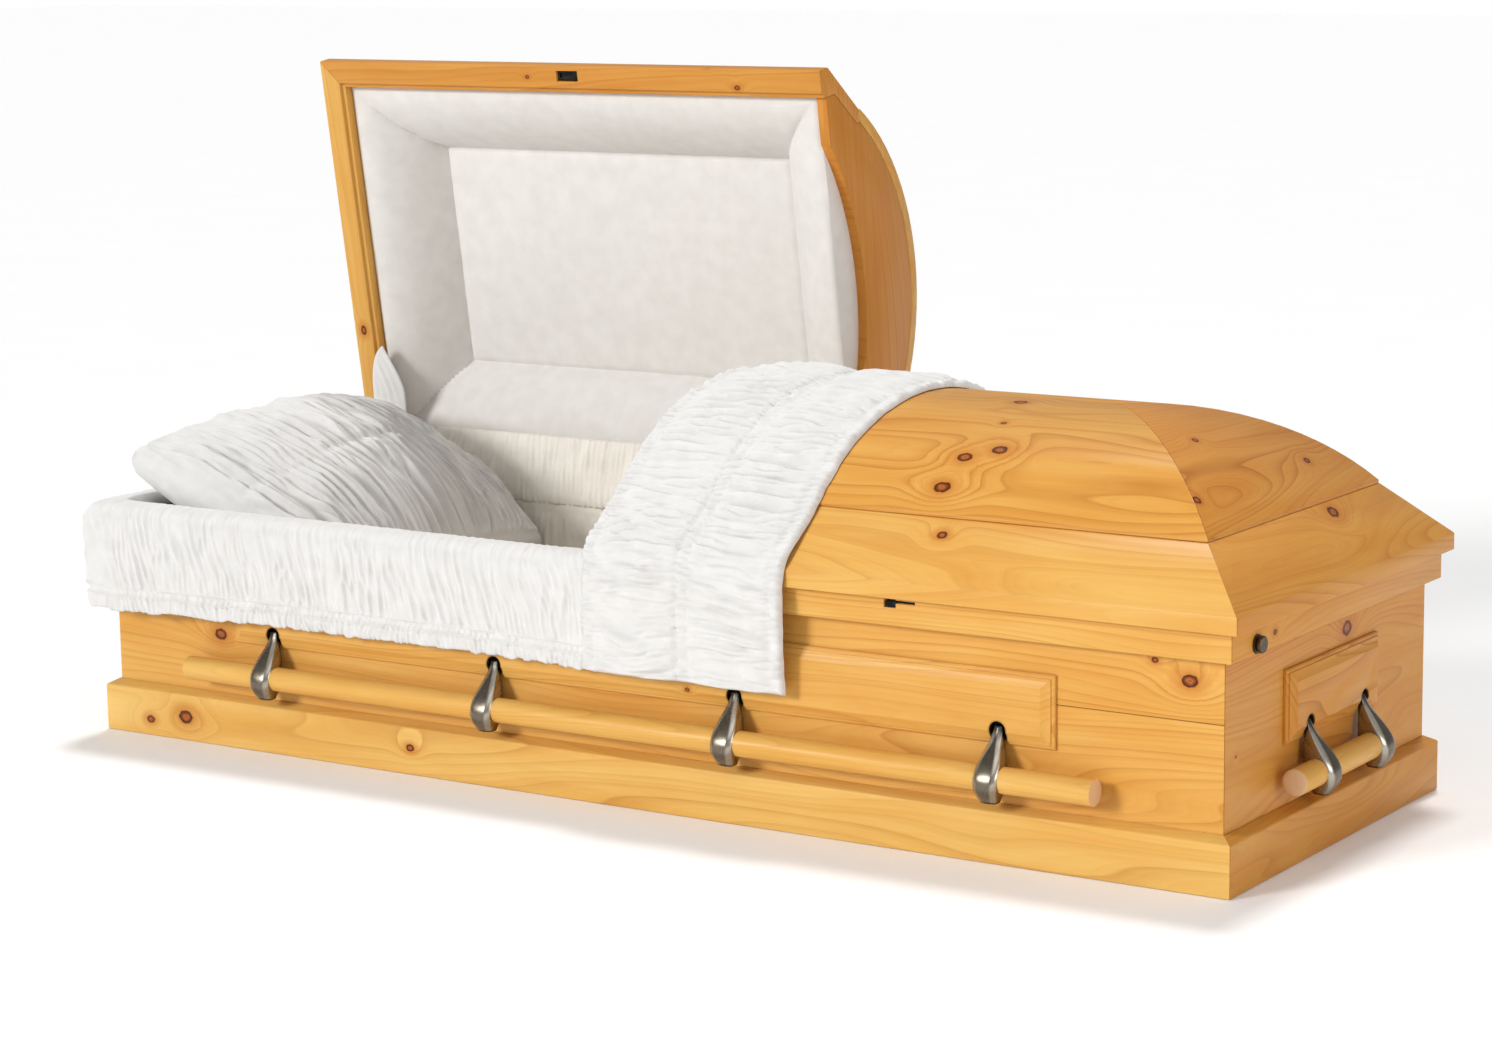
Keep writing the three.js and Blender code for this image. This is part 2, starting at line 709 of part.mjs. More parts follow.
const ringCap = capOf(roundedRing(2, 1, 0.2, (x, y) => [x, y]));

// Ruched lining inside the walls
const liningShape = new THREE.Shape();
const liningHole = new THREE.Path();
const rectangle = (path, out) => {
  path.moveTo(-out - RIDGE, -out);
  path.lineTo(out + RIDGE, -out);
  path.lineTo(out + RIDGE, out);
  path.lineTo(-out - RIDGE, out);
};
rectangle(liningShape, LINING_OUT);
rectangle(liningHole, LINING_IN);
liningShape.holes.push(liningHole);
const liningHigh = LINING_TOP - BOARD - 1;
const bodyLining = new THREE.ExtrudeGeometry(liningShape, { depth: liningHigh, bevelEnabled: false });
addMesh('body_lining', bodyLining.translate(0, 0, BOARD + 1), 'cream');

// Mattress
const bedRings = [
  [BOARD + 1, -8],
  [BOARD + 11, 0],
  [BED_TOP - 26, 0],
  [BED_TOP - 9, -5],
  [BED_TOP, -24],
].map(([z, swell]) =>
  roundedRing(BED_OUT + RIDGE + swell, BED_OUT + swell, 30, (x, y) => new THREE.Vector3(x, y, z)));
addMesh('mattress', loft(bedRings, ringCap), 'cream');

// Skirted roll over the rim of the head half. The section is a list of [out, z].
const skirtInner = wallIn - 1.6;
const skirtOuter = RIM_OUT + 0.8;
const skirtSection = [
  [376, SKIRT_HEM],
  [385, SKIRT_HEM],
  [386, 300],
  [388.5, 345],
  [386, 378],
  [376, 393],
  [352, 398],
  [327, 395],
  [314, 384],
  [311, 368],
  [skirtInner, 368],
  [skirtInner, RIM_TOP + 0.8],
  [skirtOuter, RIM_TOP + 0.8],
  [skirtOuter, 332],
  [374, 320],
];
const skirtSplit = SPLIT - 4;
const skirtRings = [
  skirtSection.map(([out, z]) => new THREE.Vector3(skirtSplit, -out, z)),
  skirtSection.map(([out, z]) => new THREE.Vector3(-RIDGE - out, -out, z)),
  skirtSection.map(([out, z]) => new THREE.Vector3(-RIDGE - out, SKIRT_BACK, z)),
];
addMesh('rim_skirt', loft(skirtRings, capOf(skirtSection)), 'white');

// Pillow: a bordered cushion that leans on the head end. Inset share and height above the border's middle.
const pillowRings = [
  [0.6, -58],
  [0.3, -48],
  [0.1, -36],
  [0, -PILLOW_BORDER / 2],
  [0, PILLOW_BORDER / 2],
  [0.1, 42],
  [0.3, 58],
  [0.6, 68],
].map(([inset, height]) => {
  const shrink = (inset * PILLOW_LONG) / 2;
  return roundedRing(PILLOW_LONG / 2 - shrink, PILLOW_WIDE / 2 - shrink, 42 * (1 - inset * 0.8),
    (x, y) => new THREE.Vector3(x, y, height));
});
const pillow = loft(pillowRings, ringCap).rotateY(PILLOW_TILT);
addMesh('pillow', pillow.translate(-817, 0, 347), 'white');

// Throw across the closed lid beside the split, hanging down the front
function throwLine(lift) {
  const radius = CROWN_RADIUS + lift;
  const face = LID_OUT + lift;
  const slopeLift = lift * Math.hypot(1, slopeRise);
  const edge = CROWN_EDGE + lift * 0.72;
  const arc = arcPoints(-edge, THROW_BACK, radius, 12);
  return [
    [-face, THROW_HEM],
    [-face, 290],
    [-face, FASCIA_TOP + slopeLift - lift * slopeRise],
    ...arc,
  ];
}

const throwUnder = throwLine(1.5);
const throwOver = throwLine(10).reverse();
const throwBand = [...throwUnder, ...throwOver];
const throwFlank = (edge) => throwBand.map(([y, z]) => {
  const share = THREE.MathUtils.clamp((y + LID_OUT) / LID_OUT, 0, 1);
  return new THREE.Vector3(edge + (edge > 0 ? THROW_LEAN * share : 0), y, z);
});
addMesh('throw', loft([throwFlank(THROW_LEFT), throwFlank(THROW_RIGHT)], bandCap(throwBand.length)), 'white');

export default group;
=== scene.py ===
import json
import math

import bpy
import numpy as np
from mathutils import Matrix, Vector


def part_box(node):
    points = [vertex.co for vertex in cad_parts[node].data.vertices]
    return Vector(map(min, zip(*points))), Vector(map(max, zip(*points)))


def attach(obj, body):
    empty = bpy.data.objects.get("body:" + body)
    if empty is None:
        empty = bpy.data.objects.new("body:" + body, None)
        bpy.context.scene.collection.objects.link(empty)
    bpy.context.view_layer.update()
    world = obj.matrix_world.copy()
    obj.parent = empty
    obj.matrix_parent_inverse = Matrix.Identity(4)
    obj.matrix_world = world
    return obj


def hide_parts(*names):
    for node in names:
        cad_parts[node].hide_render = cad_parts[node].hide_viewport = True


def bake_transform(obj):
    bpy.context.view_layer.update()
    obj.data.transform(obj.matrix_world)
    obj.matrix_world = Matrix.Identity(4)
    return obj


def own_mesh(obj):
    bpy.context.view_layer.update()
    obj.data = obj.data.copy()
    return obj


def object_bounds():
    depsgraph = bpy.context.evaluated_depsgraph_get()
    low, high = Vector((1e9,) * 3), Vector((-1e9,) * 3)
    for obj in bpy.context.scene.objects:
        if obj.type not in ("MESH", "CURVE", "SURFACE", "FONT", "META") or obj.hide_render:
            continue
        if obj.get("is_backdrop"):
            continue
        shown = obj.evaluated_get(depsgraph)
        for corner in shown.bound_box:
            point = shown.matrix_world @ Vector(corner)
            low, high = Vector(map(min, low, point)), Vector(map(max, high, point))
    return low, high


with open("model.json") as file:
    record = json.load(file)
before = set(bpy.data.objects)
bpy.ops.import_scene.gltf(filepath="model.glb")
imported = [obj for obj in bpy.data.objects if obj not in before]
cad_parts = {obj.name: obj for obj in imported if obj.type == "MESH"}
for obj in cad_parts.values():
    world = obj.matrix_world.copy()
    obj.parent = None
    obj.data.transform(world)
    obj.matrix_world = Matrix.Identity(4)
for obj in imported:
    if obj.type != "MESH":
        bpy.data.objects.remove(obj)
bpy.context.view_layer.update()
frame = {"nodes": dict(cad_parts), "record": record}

# Sizes of the case, in metres, as the solids have them
RIDGE = 0.6777
HINGE = Vector((0, 0.3582, 0.3562))
OPEN_ANGLE = math.radians(81.3)
LID_BOTTOM = 0.3729
WALL_FACE = 0.3437
BAR_RADIUS = 0.0195
ARCH_FOOT = 0.386
ARCH_TOP = 0.453
ARCH_HALF = 0.25
SKIRT_INNER = 0.311
PANEL_Z = 0.495
LINING_RIM_Z = 0.3925
SPLIT = -0.005
HALF_SPLIT_GAP = 0.001
HEADER_DEEP = 0.0205
KEEPER_X = 0.514
SIDE_ARMS = (-0.672, -0.224, 0.224, 0.672)
END_ARMS = (-0.094, 0.094)
EYE_Z = 0.1955

# The second board of a wall is drawn from further along the log, and knots are drawn out along the grain
LOG_OFFSET = 3.7
KNOT_SQUEEZE = 0.72


# Handling objects

def take(piece):
    bpy.ops.object.select_all(action="DESELECT")
    piece.select_set(True)
    bpy.context.view_layer.objects.active = piece


def apply_modifier(piece, kind, **settings):
    take(piece)
    bpy.ops.object.modifier_add(type=kind)
    modifier = piece.modifiers[-1]
    for name, value in settings.items():
        setattr(modifier, name, value)
    bpy.ops.object.modifier_apply(modifier=modifier.name)


def smooth(piece, degrees=35):
    take(piece)
    bpy.ops.object.shade_smooth_by_angle(angle=math.radians(degrees))


def settle(piece):
    take(piece)
    bpy.ops.object.transform_apply(location=True, rotation=True, scale=True)


def finish_piece(piece, name, material, body, replaces=()):
    piece.name = piece.data.name = name
    piece.data.materials.clear()
    piece.data.materials.append(material)
    if body:
        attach(piece, body)
    if replaces:
        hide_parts(*replaces)
    return piece


def object_of(name, points, faces):
    mesh = bpy.data.meshes.new(name)
    mesh.from_pydata([tuple(p) for p in points], [], faces)
    mesh.update()
    piece = bpy.data.objects.new(name, mesh)
    bpy.context.scene.collection.objects.link(piece)
    return piece


def edit_all(piece):
    take(piece)
    bpy.ops.object.mode_set(mode="EDIT")
    bpy.ops.mesh.select_all(action="SELECT")


def outward(piece):
    edit_all(piece)
    bpy.ops.mesh.remove_doubles(threshold=1e-6)
    bpy.ops.mesh.normals_make_consistent(inside=False)
    bpy.ops.object.mode_set(mode="OBJECT")


def opened(points):
    """Points of the closed head lid, turned back to where the lid stands open."""
    points = np.array(points, float)
    dy, dz = points[..., 1] - HINGE.y, points[..., 2] - HINGE.z
    c, s = math.cos(OPEN_ANGLE), math.sin(OPEN_ANGLE)
    points[..., 1] = HINGE.y + dy * c + dz * s
    points[..., 2] = HINGE.z - dy * s + dz * c
    return points


# Node materials

class Finish:
    """A material under construction, with short calls for the nodes it is made of."""

    def __init__(self, name):
        self.material = bpy.data.materials.new(name)
        self.material.use_nodes = True
        self.tree = self.material.node_tree
        self.shader = self.tree.nodes["Principled BSDF"]

    def node(self, kind, inputs=(), **settings):
        made = self.tree.nodes.new("ShaderNode" + kind)
        for name, value in settings.items():
            setattr(made, name, value)
        for key, value in dict(inputs).items():
            self.put(made.inputs[key], value)
        return made

    def put(self, socket, value):
        if isinstance(value, bpy.types.NodeSocket):
            self.tree.links.new(value, socket)
        else:
            socket.default_value = value

    def math(self, operation, a, b=0.0, clamp=False):
        made = self.node("Math", {0: a, 1: b}, operation=operation, use_clamp=clamp)
        return made.outputs[0]

    def add_times(self, a, factor, more):
        """a times factor, and more added."""
        made = self.node("Math", {0: a, 1: factor, 2: more}, operation="MULTIPLY_ADD")
        return made.outputs[0]

    def place(self):
        return self.node("TexCoord").outputs["Object"]

    def vector(self, operation, a, b=(0, 0, 0)):
        made = self.node("VectorMath", {0: a, 1: b}, operation=operation)
        return made.outputs["Value" if operation == "LENGTH" else "Vector"]

    def noise(self, where, scale, detail=2.0, rough=0.5, distortion=0.0):
        made = self.node("TexNoise", {"Vector": where, "Scale": scale, "Detail": detail,
                                      "Roughness": rough, "Distortion": distortion})
        return made.outputs["Fac"]

    def ramp(self, factor, stops):
        made = self.node("ValToRGB", {"Fac": factor})
        ramp = made.color_ramp
        while len(ramp.elements) < len(stops):
            ramp.elements.new(1.0)
        for element, (position, value) in zip(ramp.elements, stops):
            element.position = position
            colour = (value, value, value) if isinstance(value, (int, float)) else value
            element.color = (*colour, 1)
        return made.outputs["Color"]

    def mix(self, factor, a, b, blend="MIX"):
        made = self.node("Mix", data_type="RGBA", blend_type=blend, clamp_factor=True)
        self.put(made.inputs[0], factor)
        for key, value in ((6, a), (7, b)):
            self.put(made.inputs[key], value if isinstance(value, bpy.types.NodeSocket) else (*value, 1))
        return made.outputs[2]

    def bump(self, height, strength, distance):
        made = self.node("Bump", {"Height": height, "Strength": strength, "Distance": distance})
        self.put(self.shader.inputs["Normal"], made.outputs["Normal"])

    def gloss(self, **values):
        for name, value in values.items():
            self.put(self.shader.inputs[name.replace("_", " ")], value)


def pine(name, grain, seed, knots, tone_and_shade, split, rings, slot_shades=(), lifted=False, ends=None, crisp=1.0):
    """Lacquered pine: rings that run out in long arches, fine fibres, and knots at (x, y, z, radius).
    A glue line is painted at the height split, and the board below and above it has its own grain.
    The arm slots get painted shade, near black, inside them and round their mouths, about the points given at
    (x, y, z). A lifted lid is painted as it lies when closed.
    Ends are where sawn end grain shows, as (middle, half length). Crisp is how strongly rings show."""
    f = Finish(name)
    here = f.place()
    if lifted:
        closed = Matrix.Rotation(OPEN_ANGLE, 3, "X")
        here = f.node("Mapping", {"Vector": here, "Location": HINGE - closed @ HINGE,
                                  "Rotation": (OPEN_ANGLE, 0, 0)}, vector_type="POINT").outputs[0]
    axes = {"X": "XYZ", "Y": "YXZ", "Z": "ZXY"}[grain]
    parts = f.node("SeparateXYZ", {0: here})
    along, first, second = (parts.outputs[a] for a in axes)
    shift = seed
    if split is not None:
        step = f.math("GREATER_THAN", parts.outputs["Z"], split)
        shift = f.add_times(step, LOG_OFFSET, seed)
    slow = f.node("CombineXYZ", {0: f.add_times(along, 0.15, shift), 1: first, 2: second}).outputs[0]
    warp = f.noise(slow, 6.5, 1.5, 0.45)
    swell = f.math("MULTIPLY", f.math("SUBTRACT", warp, 0.5), 0.17)

    # The heart of the tree lies behind the board
    u = f.add_times(along, 0.012, f.math("ADD", first, 0.031 * math.sin(seed * 5.1)))
    v = f.math("ADD", second, 0.06 + 0.03 * math.sin(seed * 2.3))
    radius = f.math("SQRT", f.math("ADD", f.math("MULTIPLY", u, u), f.math("MULTIPLY", v, v)))
    phase = f.math("ADD", radius, swell)

    nearest = None
    ragged = f.math("MULTIPLY", f.math("SUBTRACT", f.noise(here, 130.0, 2.0), 0.5), 0.5) if knots else None
    for x, y, z, size in knots:
        stretch = [KNOT_SQUEEZE if axis == grain else 1 for axis in "XYZ"]
        away = f.vector("MULTIPLY", f.vector("SUBTRACT", here, (x, y, z)), stretch)
        far = f.math("ADD", f.math("DIVIDE", f.vector("LENGTH", away), size), ragged)
        pull = f.math("POWER", 2.0, f.math("MULTIPLY", f.math("MULTIPLY", far, far), -0.11))
        phase = f.math("ADD", phase, f.math("MULTIPLY", pull, size * 3.0))
        nearest = far if nearest is None else f.math("MINIMUM", nearest, far)

    count = f.math("MULTIPLY", phase, rings)
    late = f.ramp(f.math("FRACT", count), [(0.0, 0.0), (0.5, 0.06), (0.84, 0.6), (0.94, 1.0), (1.0, 0.0)])
    each = f.node("TexWhiteNoise", {"W": f.math("FLOOR", count)}, noise_dimensions="1D").outputs["Value"]
    thin = f.ramp(f.math("FRACT", f.math("MULTIPLY", phase, rings * 3.1)),
                  [(0.0, 0.0), (0.8, 0.5), (0.9, 1.0), (1.0, 0.0)])
    band = f.noise(slow, 24.0, 3.0, 0.55)
    fibre_at = f.node("CombineXYZ", {0: f.math("MULTIPLY", along, 6.0), 1: f.math("MULTIPLY", first, 320.0),
                                     2: f.math("MULTIPLY", second, 320.0)}).outputs[0]
    fibre = f.noise(fibre_at, 1.0, 2.0, 0.6)
    patch = f.noise(slow, 3.2, 1.0)

    broad = f.ramp(f.math("FRACT", f.math("MULTIPLY", phase, rings * 0.29)),
                   [(0.0, 0.0), (0.7, 0.3), (0.93, 1.0), (1.0, 0.0)])

    # A lower tone darkens and saturates the wood; on the end boards this is painted shade
    def shade_toned(red, green, blue):
        return red * tone_and_shade, green * tone_and_shade ** 2.7, blue * tone_and_shade ** 5

    pale = shade_toned(0.78, 0.465, 0.125)
    honey = shade_toned(0.70, 0.340, 0.064)
    amber = shade_toned(0.43, 0.150, 0.018)
    ground = f.mix(f.ramp(f.math("ADD", f.math("MULTIPLY", band, 0.6), f.math("MULTIPLY", patch, 0.4)),
                          [(0.34, 0.0), (0.66, 1.0)]), pale, honey)
    depth = f.math("MULTIPLY", f.add_times(each, 0.52 * crisp, 0.13 * crisp),
                   f.ramp(patch, [(0.35, 0.5), (0.65, 1.2)]))
    wood = f.mix(f.math("MULTIPLY", broad, 0.30 * crisp), ground, shade_toned(0.60, 0.245, 0.035))
    wood = f.mix(f.math("MULTIPLY", late, depth), wood, amber)
    wood = f.mix(f.math("MULTIPLY", thin, 0.09 * crisp), wood, amber)
    wood = f.mix(f.math("MULTIPLY", fibre, 0.16), wood, amber)
    if nearest is not None:
        third = f.math("MULTIPLY", nearest, 1 / 3)
        halo = f.ramp(third, [(0.3, 0.85), (0.5, 0.45), (1.0, 0.0)])
        wood = f.mix(halo, wood, (0.50, 0.155, 0.018))
        heart = f.ramp(third, [(0.0, (0.26, 0.07, 0.012)), (0.10, (0.42, 0.13, 0.022)),
                               (0.20, (0.20, 0.045, 0.007)), (0.31, (0.055, 0.012, 0.003))])
        wood = f.mix(f.ramp(third, [(0.31, 1.0), (0.37, 0.0)]), wood, heart)
    if ends:
        end_middle, end_half = ends
        off_middle = f.math("ABSOLUTE", f.math("SUBTRACT", along, end_middle))
        beyond = f.math("GREATER_THAN", off_middle, end_half - 0.0025)
        sawn = f.mix(f.math("MULTIPLY", late, 0.55), (0.78, 0.52, 0.30), (0.50, 0.25, 0.10))
        wood = f.mix(beyond, wood, sawn)
    if split is not None:
        off = f.math("ABSOLUTE", f.math("SUBTRACT", parts.outputs["Z"], split))
        line = f.math("MULTIPLY", f.ramp(f.math("MULTIPLY", off, 100.0), [(0.05, 1.0), (0.11, 0.0)]),
                      f.ramp(patch, [(0.42, 0.25), (0.58, 0.85)]))
        wood = f.mix(line, wood, (0.10, 0.035, 0.008))
    # Painted shade: near black inside each arm slot and round its mouth
    for shade_spot in slot_shades:
        inside = f.vector("LENGTH", f.vector("SUBTRACT", here, shade_spot))
        wood = f.mix(f.ramp(inside, [(0.0175, 1.0), (0.0185, 0.0)]), wood, (0.02, 0.012, 0.007))
    f.put(f.shader.inputs["Base Color"], wood)
    f.put(f.shader.inputs["Roughness"], f.add_times(fibre, 0.12, 0.30))
    f.gloss(Coat_Weight=0.05, Coat_Roughness=0.3, IOR=1.3, Specular_IOR_Level=0.35)
    f.bump(f.math("ADD", f.math("MULTIPLY", late, 0.4), fibre), 0.12, 0.0004)
    return f.material


def cloth(name, colour, crush=0.35, size=420.0):
    """Crepe: a crushed, matt cloth with a fine weave."""
    f = Finish(name)
    here = f.place()
    crinkle = f.noise(here, size, 3.0, 0.6, 0.3)
    soft = f.noise(here, 34.0, 2.0)
    weave = f.math("MULTIPLY", *(f.math("SINE", f.math("MULTIPLY", part, 4400.0))
                                 for part in (f.node("SeparateXYZ", {0: here}).outputs["X"],
                                              f.node("SeparateXYZ", {0: here}).outputs["Z"])))
    dark = tuple(c * d for c, d in zip(colour, (0.93, 0.925, 0.915)))
    tint = f.mix(f.ramp(soft, [(0.3, 0.0), (0.7, 1.0)]), dark, colour)
    f.put(f.shader.inputs["Base Color"], tint)
    f.put(f.shader.inputs["Roughness"], f.ramp(crinkle, [(0.2, 0.78), (0.8, 0.95)]))
    f.gloss(Sheen_Weight=0.25, Sheen_Roughness=0.5)
    f.bump(f.math("ADD", crinkle, f.math("MULTIPLY", weave, 0.12)), crush, 0.0006)
    return f.material


def metal(name, bright, dark, roughness, dark_low=None, painted_sheen=None):
    """Cast metal, mottled at random between its dark and bright colours. Where an attribute is named, it sets
    that mix instead, as painted reflection where low and painted highlight where high.
    Dark_low is the height of an arm's foot, below which and above whose pivot it stays dark."""
    f = Finish(name)
    here = f.place()
    stain = f.noise(here, 85.0, 3.0, 0.6)
    mottle_and_sheen = f.ramp(stain, [(0.32, 0.0), (0.68, 1.0)])
    if painted_sheen:
        # Painted light: the attribute paints reflection and highlight into the colour
        sheen_paint = f.node("Attribute", attribute_name=painted_sheen).outputs["Fac"]
        mottle_and_sheen = f.add_times(sheen_paint, 0.92, f.math("MULTIPLY", stain, 0.08))
    colour = f.mix(mottle_and_sheen, dark, bright)
    if dark_low is not None:
        height = f.node("SeparateXYZ", {0: here}).outputs["Z"]
        low = f.node("MapRange", {0: height, 1: dark_low + 0.001, 2: dark_low + 0.005,
                                  3: 1.0, 4: 0.0}).outputs[0]
        high = f.node("MapRange", {0: height, 1: 0.181, 2: 0.196, 3: 0.0, 4: 0.9}).outputs[0]
        colour = f.mix(f.math("MAXIMUM", low, high), colour, (0.03, 0.026, 0.022))
    f.put(f.shader.inputs["Base Color"], colour)
    f.put(f.shader.inputs["Roughness"], f.add_times(stain, 0.16, roughness))
    f.gloss(Metallic=1.0)
    f.bump(f.noise(here, 900.0, 2.0), 0.05, 0.0003)
    return f.material


white_cloth = cloth("white_crepe", (0.745, 0.735, 0.72))
lining_cloth = cloth("lining_crepe", (0.88, 0.84, 0.765))
smooth_cloth = cloth("smooth_lining", (0.77, 0.75, 0.72), 0.10, 700.0)
# Nickel of the arms, with painted reflection and painted highlight from an attribute they carry
nickel = metal("nickel_painted_sheen", (0.72, 0.66, 0.56), (0.12, 0.097, 0.068), 0.2, 0.0944, "painted_sheen")
bronze = metal("dark_bronze", (0.16, 0.12, 0.075), (0.05, 0.04, 0.03), 0.3)
black_iron = metal("black_iron", (0.03, 0.028, 0.026), (0.012, 0.011, 0.01), 0.35)


# Boards: each is its solid with eased edges. By node: grain, seed, knots, tone and glue line. The tone is
# partly the board's own and partly painted light: end boards, which stand in shade, are darker and more
# saturated, the front base and rim lighter

wood_by_node = {
    "base_moulding_front": ("X", 1.3, ((-0.8636, -0.3618, 0.0397, 0.0105), (-0.9419, -0.3618, 0.0273, 0.006),
                                       (-0.3913, -0.3618, 0.0436, 0.0055)), 1.07, None),
    "base_moulding_back": ("X", 2.9, (), 1.0, None),
    "base_moulding_head": ("Y", 3.3, (), 0.95, None),
    "base_moulding_foot": ("Y", 4.1, (), 0.91, None),
    "wall_front": ("X", 5.6, ((-0.7958, -0.3434, 0.1834, 0.009), (0.9676, -0.3434, 0.2971, 0.009),
                            (0.914, -0.3434, 0.321, 0.004), (0.427, -0.3434, 0.105, 0.0025)), 1.0, 0.24),
    "wall_back": ("X", 6.4, ((0.41, 0.3434, 0.29, 0.009),), 1.0, 0.24),
    "wall_head": ("Y", 7.2, (), 0.95, 0.23),
    "wall_foot": ("Y", 8.7, ((1.0211, 0.0578, 0.3049, 0.011), (1.0211, -0.308, 0.189, 0.002)), 0.91, None),
    "floor_board": ("X", 9.1, (), 0.9, None),
    "rim_rail_front": ("X", 10.3, (), 1.04, None),
    "rim_rail_back": ("X", 11.2, (), 1.0, None),
    "rim_rail_head": ("Y", 12.8, (), 0.95, None),
    "rim_rail_foot": ("Y", 13.6, ((1.0394, -0.226, 0.3519, 0.004),), 0.91, None),
    "panel_front": ("X", 14.5, ((0.14, -0.3577, 0.196, 0.003),), 1.0, None),
    "panel_back": ("X", 15.4, (), 1.0, None),
    "panel_head": ("Y", 16.2, (), 0.95, None),
    "panel_foot": ("Y", 17.9, (), 0.92, None),
    "foot_lid_front_rail": ("X", 18.3, ((0.5564, -0.312, 0.4603, 0.0062),), 1.0, None),
    "foot_lid_back_rail": ("X", 19.6, (), 1.0, None),
    "foot_lid_end_rail": ("Y", 20.4, ((0.9817, 0.0908, 0.4679, 0.0095),), 0.89, None),
    "foot_lid_crown": ("X", 21.7, ((0.5353, -0.2086, 0.5576, 0.0085), (0.5833, -0.1903, 0.5689, 0.0085),
                                   (0.5248, -0.2573, 0.5196, 0.0095), (0.5537, -0.1269, 0.5982, 0.0035),
                                   (0.5361, -0.0426, 0.6176, 0.008)), 0.96, None),
    "foot_lid_hip": ("Y", 22.5, ((0.8364, -0.0683, 0.5853, 0.005), (0.918, 0.135, 0.532, 0.0055),
                            (0.9236, -0.2369, 0.5297, 0.0065)), 0.88, None),
    "foot_lid_header": ("Y", 23.3, (), 0.95, None),
    "head_lid_front_rail": ("X", 24.8, ((-0.598, -0.356, 0.373, 0.003), (-0.169, -0.345, 0.373, 0.004),
                                        (-0.227, -0.38, 0.375, 0.003)), 0.90, None),
    "head_lid_back_rail": ("X", 25.5, (), 1.0, None),
    "head_lid_end_rail": ("Y", 26.1, ((-1.034, 0.116, 0.373, 0.006),), 1.0, None),
    "head_lid_crown": ("X", 27.9, (), 1.0, None),
    "head_lid_hip": ("Y", 28.6, (), 0.95, None),
    "head_lid_header": ("Y", 29.4, ((-0.006, -0.1153, 0.4143, 0.0028),), 0.86, None),
}

body_of = {n: b for b, members in frame["record"]["behaviour"]["bodies"].items() for n in members}


def finished_board(node, material, ease=0.0011):
    mesh = frame["nodes"][node].data.copy()
    board = bpy.data.objects.new(node + "_board", mesh)
    bpy.context.scene.collection.objects.link(board)
    edit_all(board)
    bpy.ops.mesh.remove_doubles(threshold=1e-5)
    bpy.ops.mesh.dissolve_limited(angle_limit=math.radians(0.4))
    bpy.ops.object.mode_set(mode="OBJECT")
    apply_modifier(board, "BEVEL", width=ease, segments=2, limit_method="ANGLE",
                   angle_limit=math.radians(25), use_clamp_overlap=True, miter_outer="MITER_ARC")
    smooth(board, 32)
    return finish_piece(board, node + "_board", material, body_of[node], [node])


# Points behind the wall faces round which the arm slots get painted shade
slot_shade_depth = WALL_FACE + 0.003
slot_shades_by_side = {"front": [(x, -slot_shade_depth, EYE_Z) for x in SIDE_ARMS],
                "back": [(x, slot_shade_depth, EYE_Z) for x in SIDE_ARMS],
                "head": [(-RIDGE - slot_shade_depth, y, EYE_Z) for y in END_ARMS],
                "foot": [(RIDGE + slot_shade_depth, y, EYE_Z) for y in END_ARMS]}

for node, (grain, seed, knots, tone_and_shade, split) in wood_by_node.items():
    rings = 170.0 if grain == "Y" else 75.0 if node.startswith("base") else 120.0
    slotted = node.startswith(("wall_", "panel_"))
    slot_shades = slot_shades_by_side[node.split("_")[1]] if slotted else ()
    finished_board(node, pine("pine_" + node, grain, seed, knots, tone_and_shade, split, rings, slot_shades=slot_shades,
                               lifted=node.startswith("head_lid")))


# Handles

def handle_bar(node, middle, half, along):
    """A turned bar with slightly domed ends."""
    dome, edge_drop = 0.0042, 0.96
    turn = (0, math.radians(90), 0) if along == "X" else (math.radians(90), 0, 0)
    bpy.ops.object.select_all(action="DESELECT")
    bpy.ops.mesh.primitive_cylinder_add(vertices=56, radius=BAR_RADIUS, depth=2 * half - 0.004,
                                        end_fill_type="NGON", location=middle, rotation=turn)
    bar = bpy.context.active_object
    settle(bar)
    axis = "XY".index(along)
    for end in bar.data.polygons:
        end.select = len(end.vertices) > 4
    bpy.ops.object.mode_set(mode="EDIT")
    bpy.ops.mesh.select_mode(type="FACE")
    for _ in range(4):
        bpy.ops.mesh.inset(thickness=BAR_RADIUS * 0.19, depth=0)
    bpy.ops.object.mode_set(mode="OBJECT")
    middle = Vector(middle)
    for vertex in bar.data.vertices:
        away = vertex.co - middle
        side = math.copysign(1, away[axis])
        away[axis] = 0
        flat = min(1.0, away.length / BAR_RADIUS)
        vertex.co[axis] += side * dome * (math.sqrt(1 - edge_drop * flat * flat) - 0.2)
    apply_modifier(bar, "BEVEL", width=0.0012, segments=2, limit_method="ANGLE", angle_limit=math.radians(40))
    smooth(bar, 40)
    material = pine("turned_" + node, along, 31.0 + len(node) + middle[1], (), 1.05, None, 260.0,
                    ends=(middle[axis], half), crisp=0.45)
    return finish_piece(bar, node + "_turned", material, body_of[node], [node])


for node in ("bar_front", "bar_back", "bar_head", "bar_foot"):
    low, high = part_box(node)
    middle = tuple((low + high) / 2)
    along = "X" if high.x - low.x > high.y - low.y else "Y"
    handle_bar(node, middle, (high - low)["XY".index(along)] / 2, along)


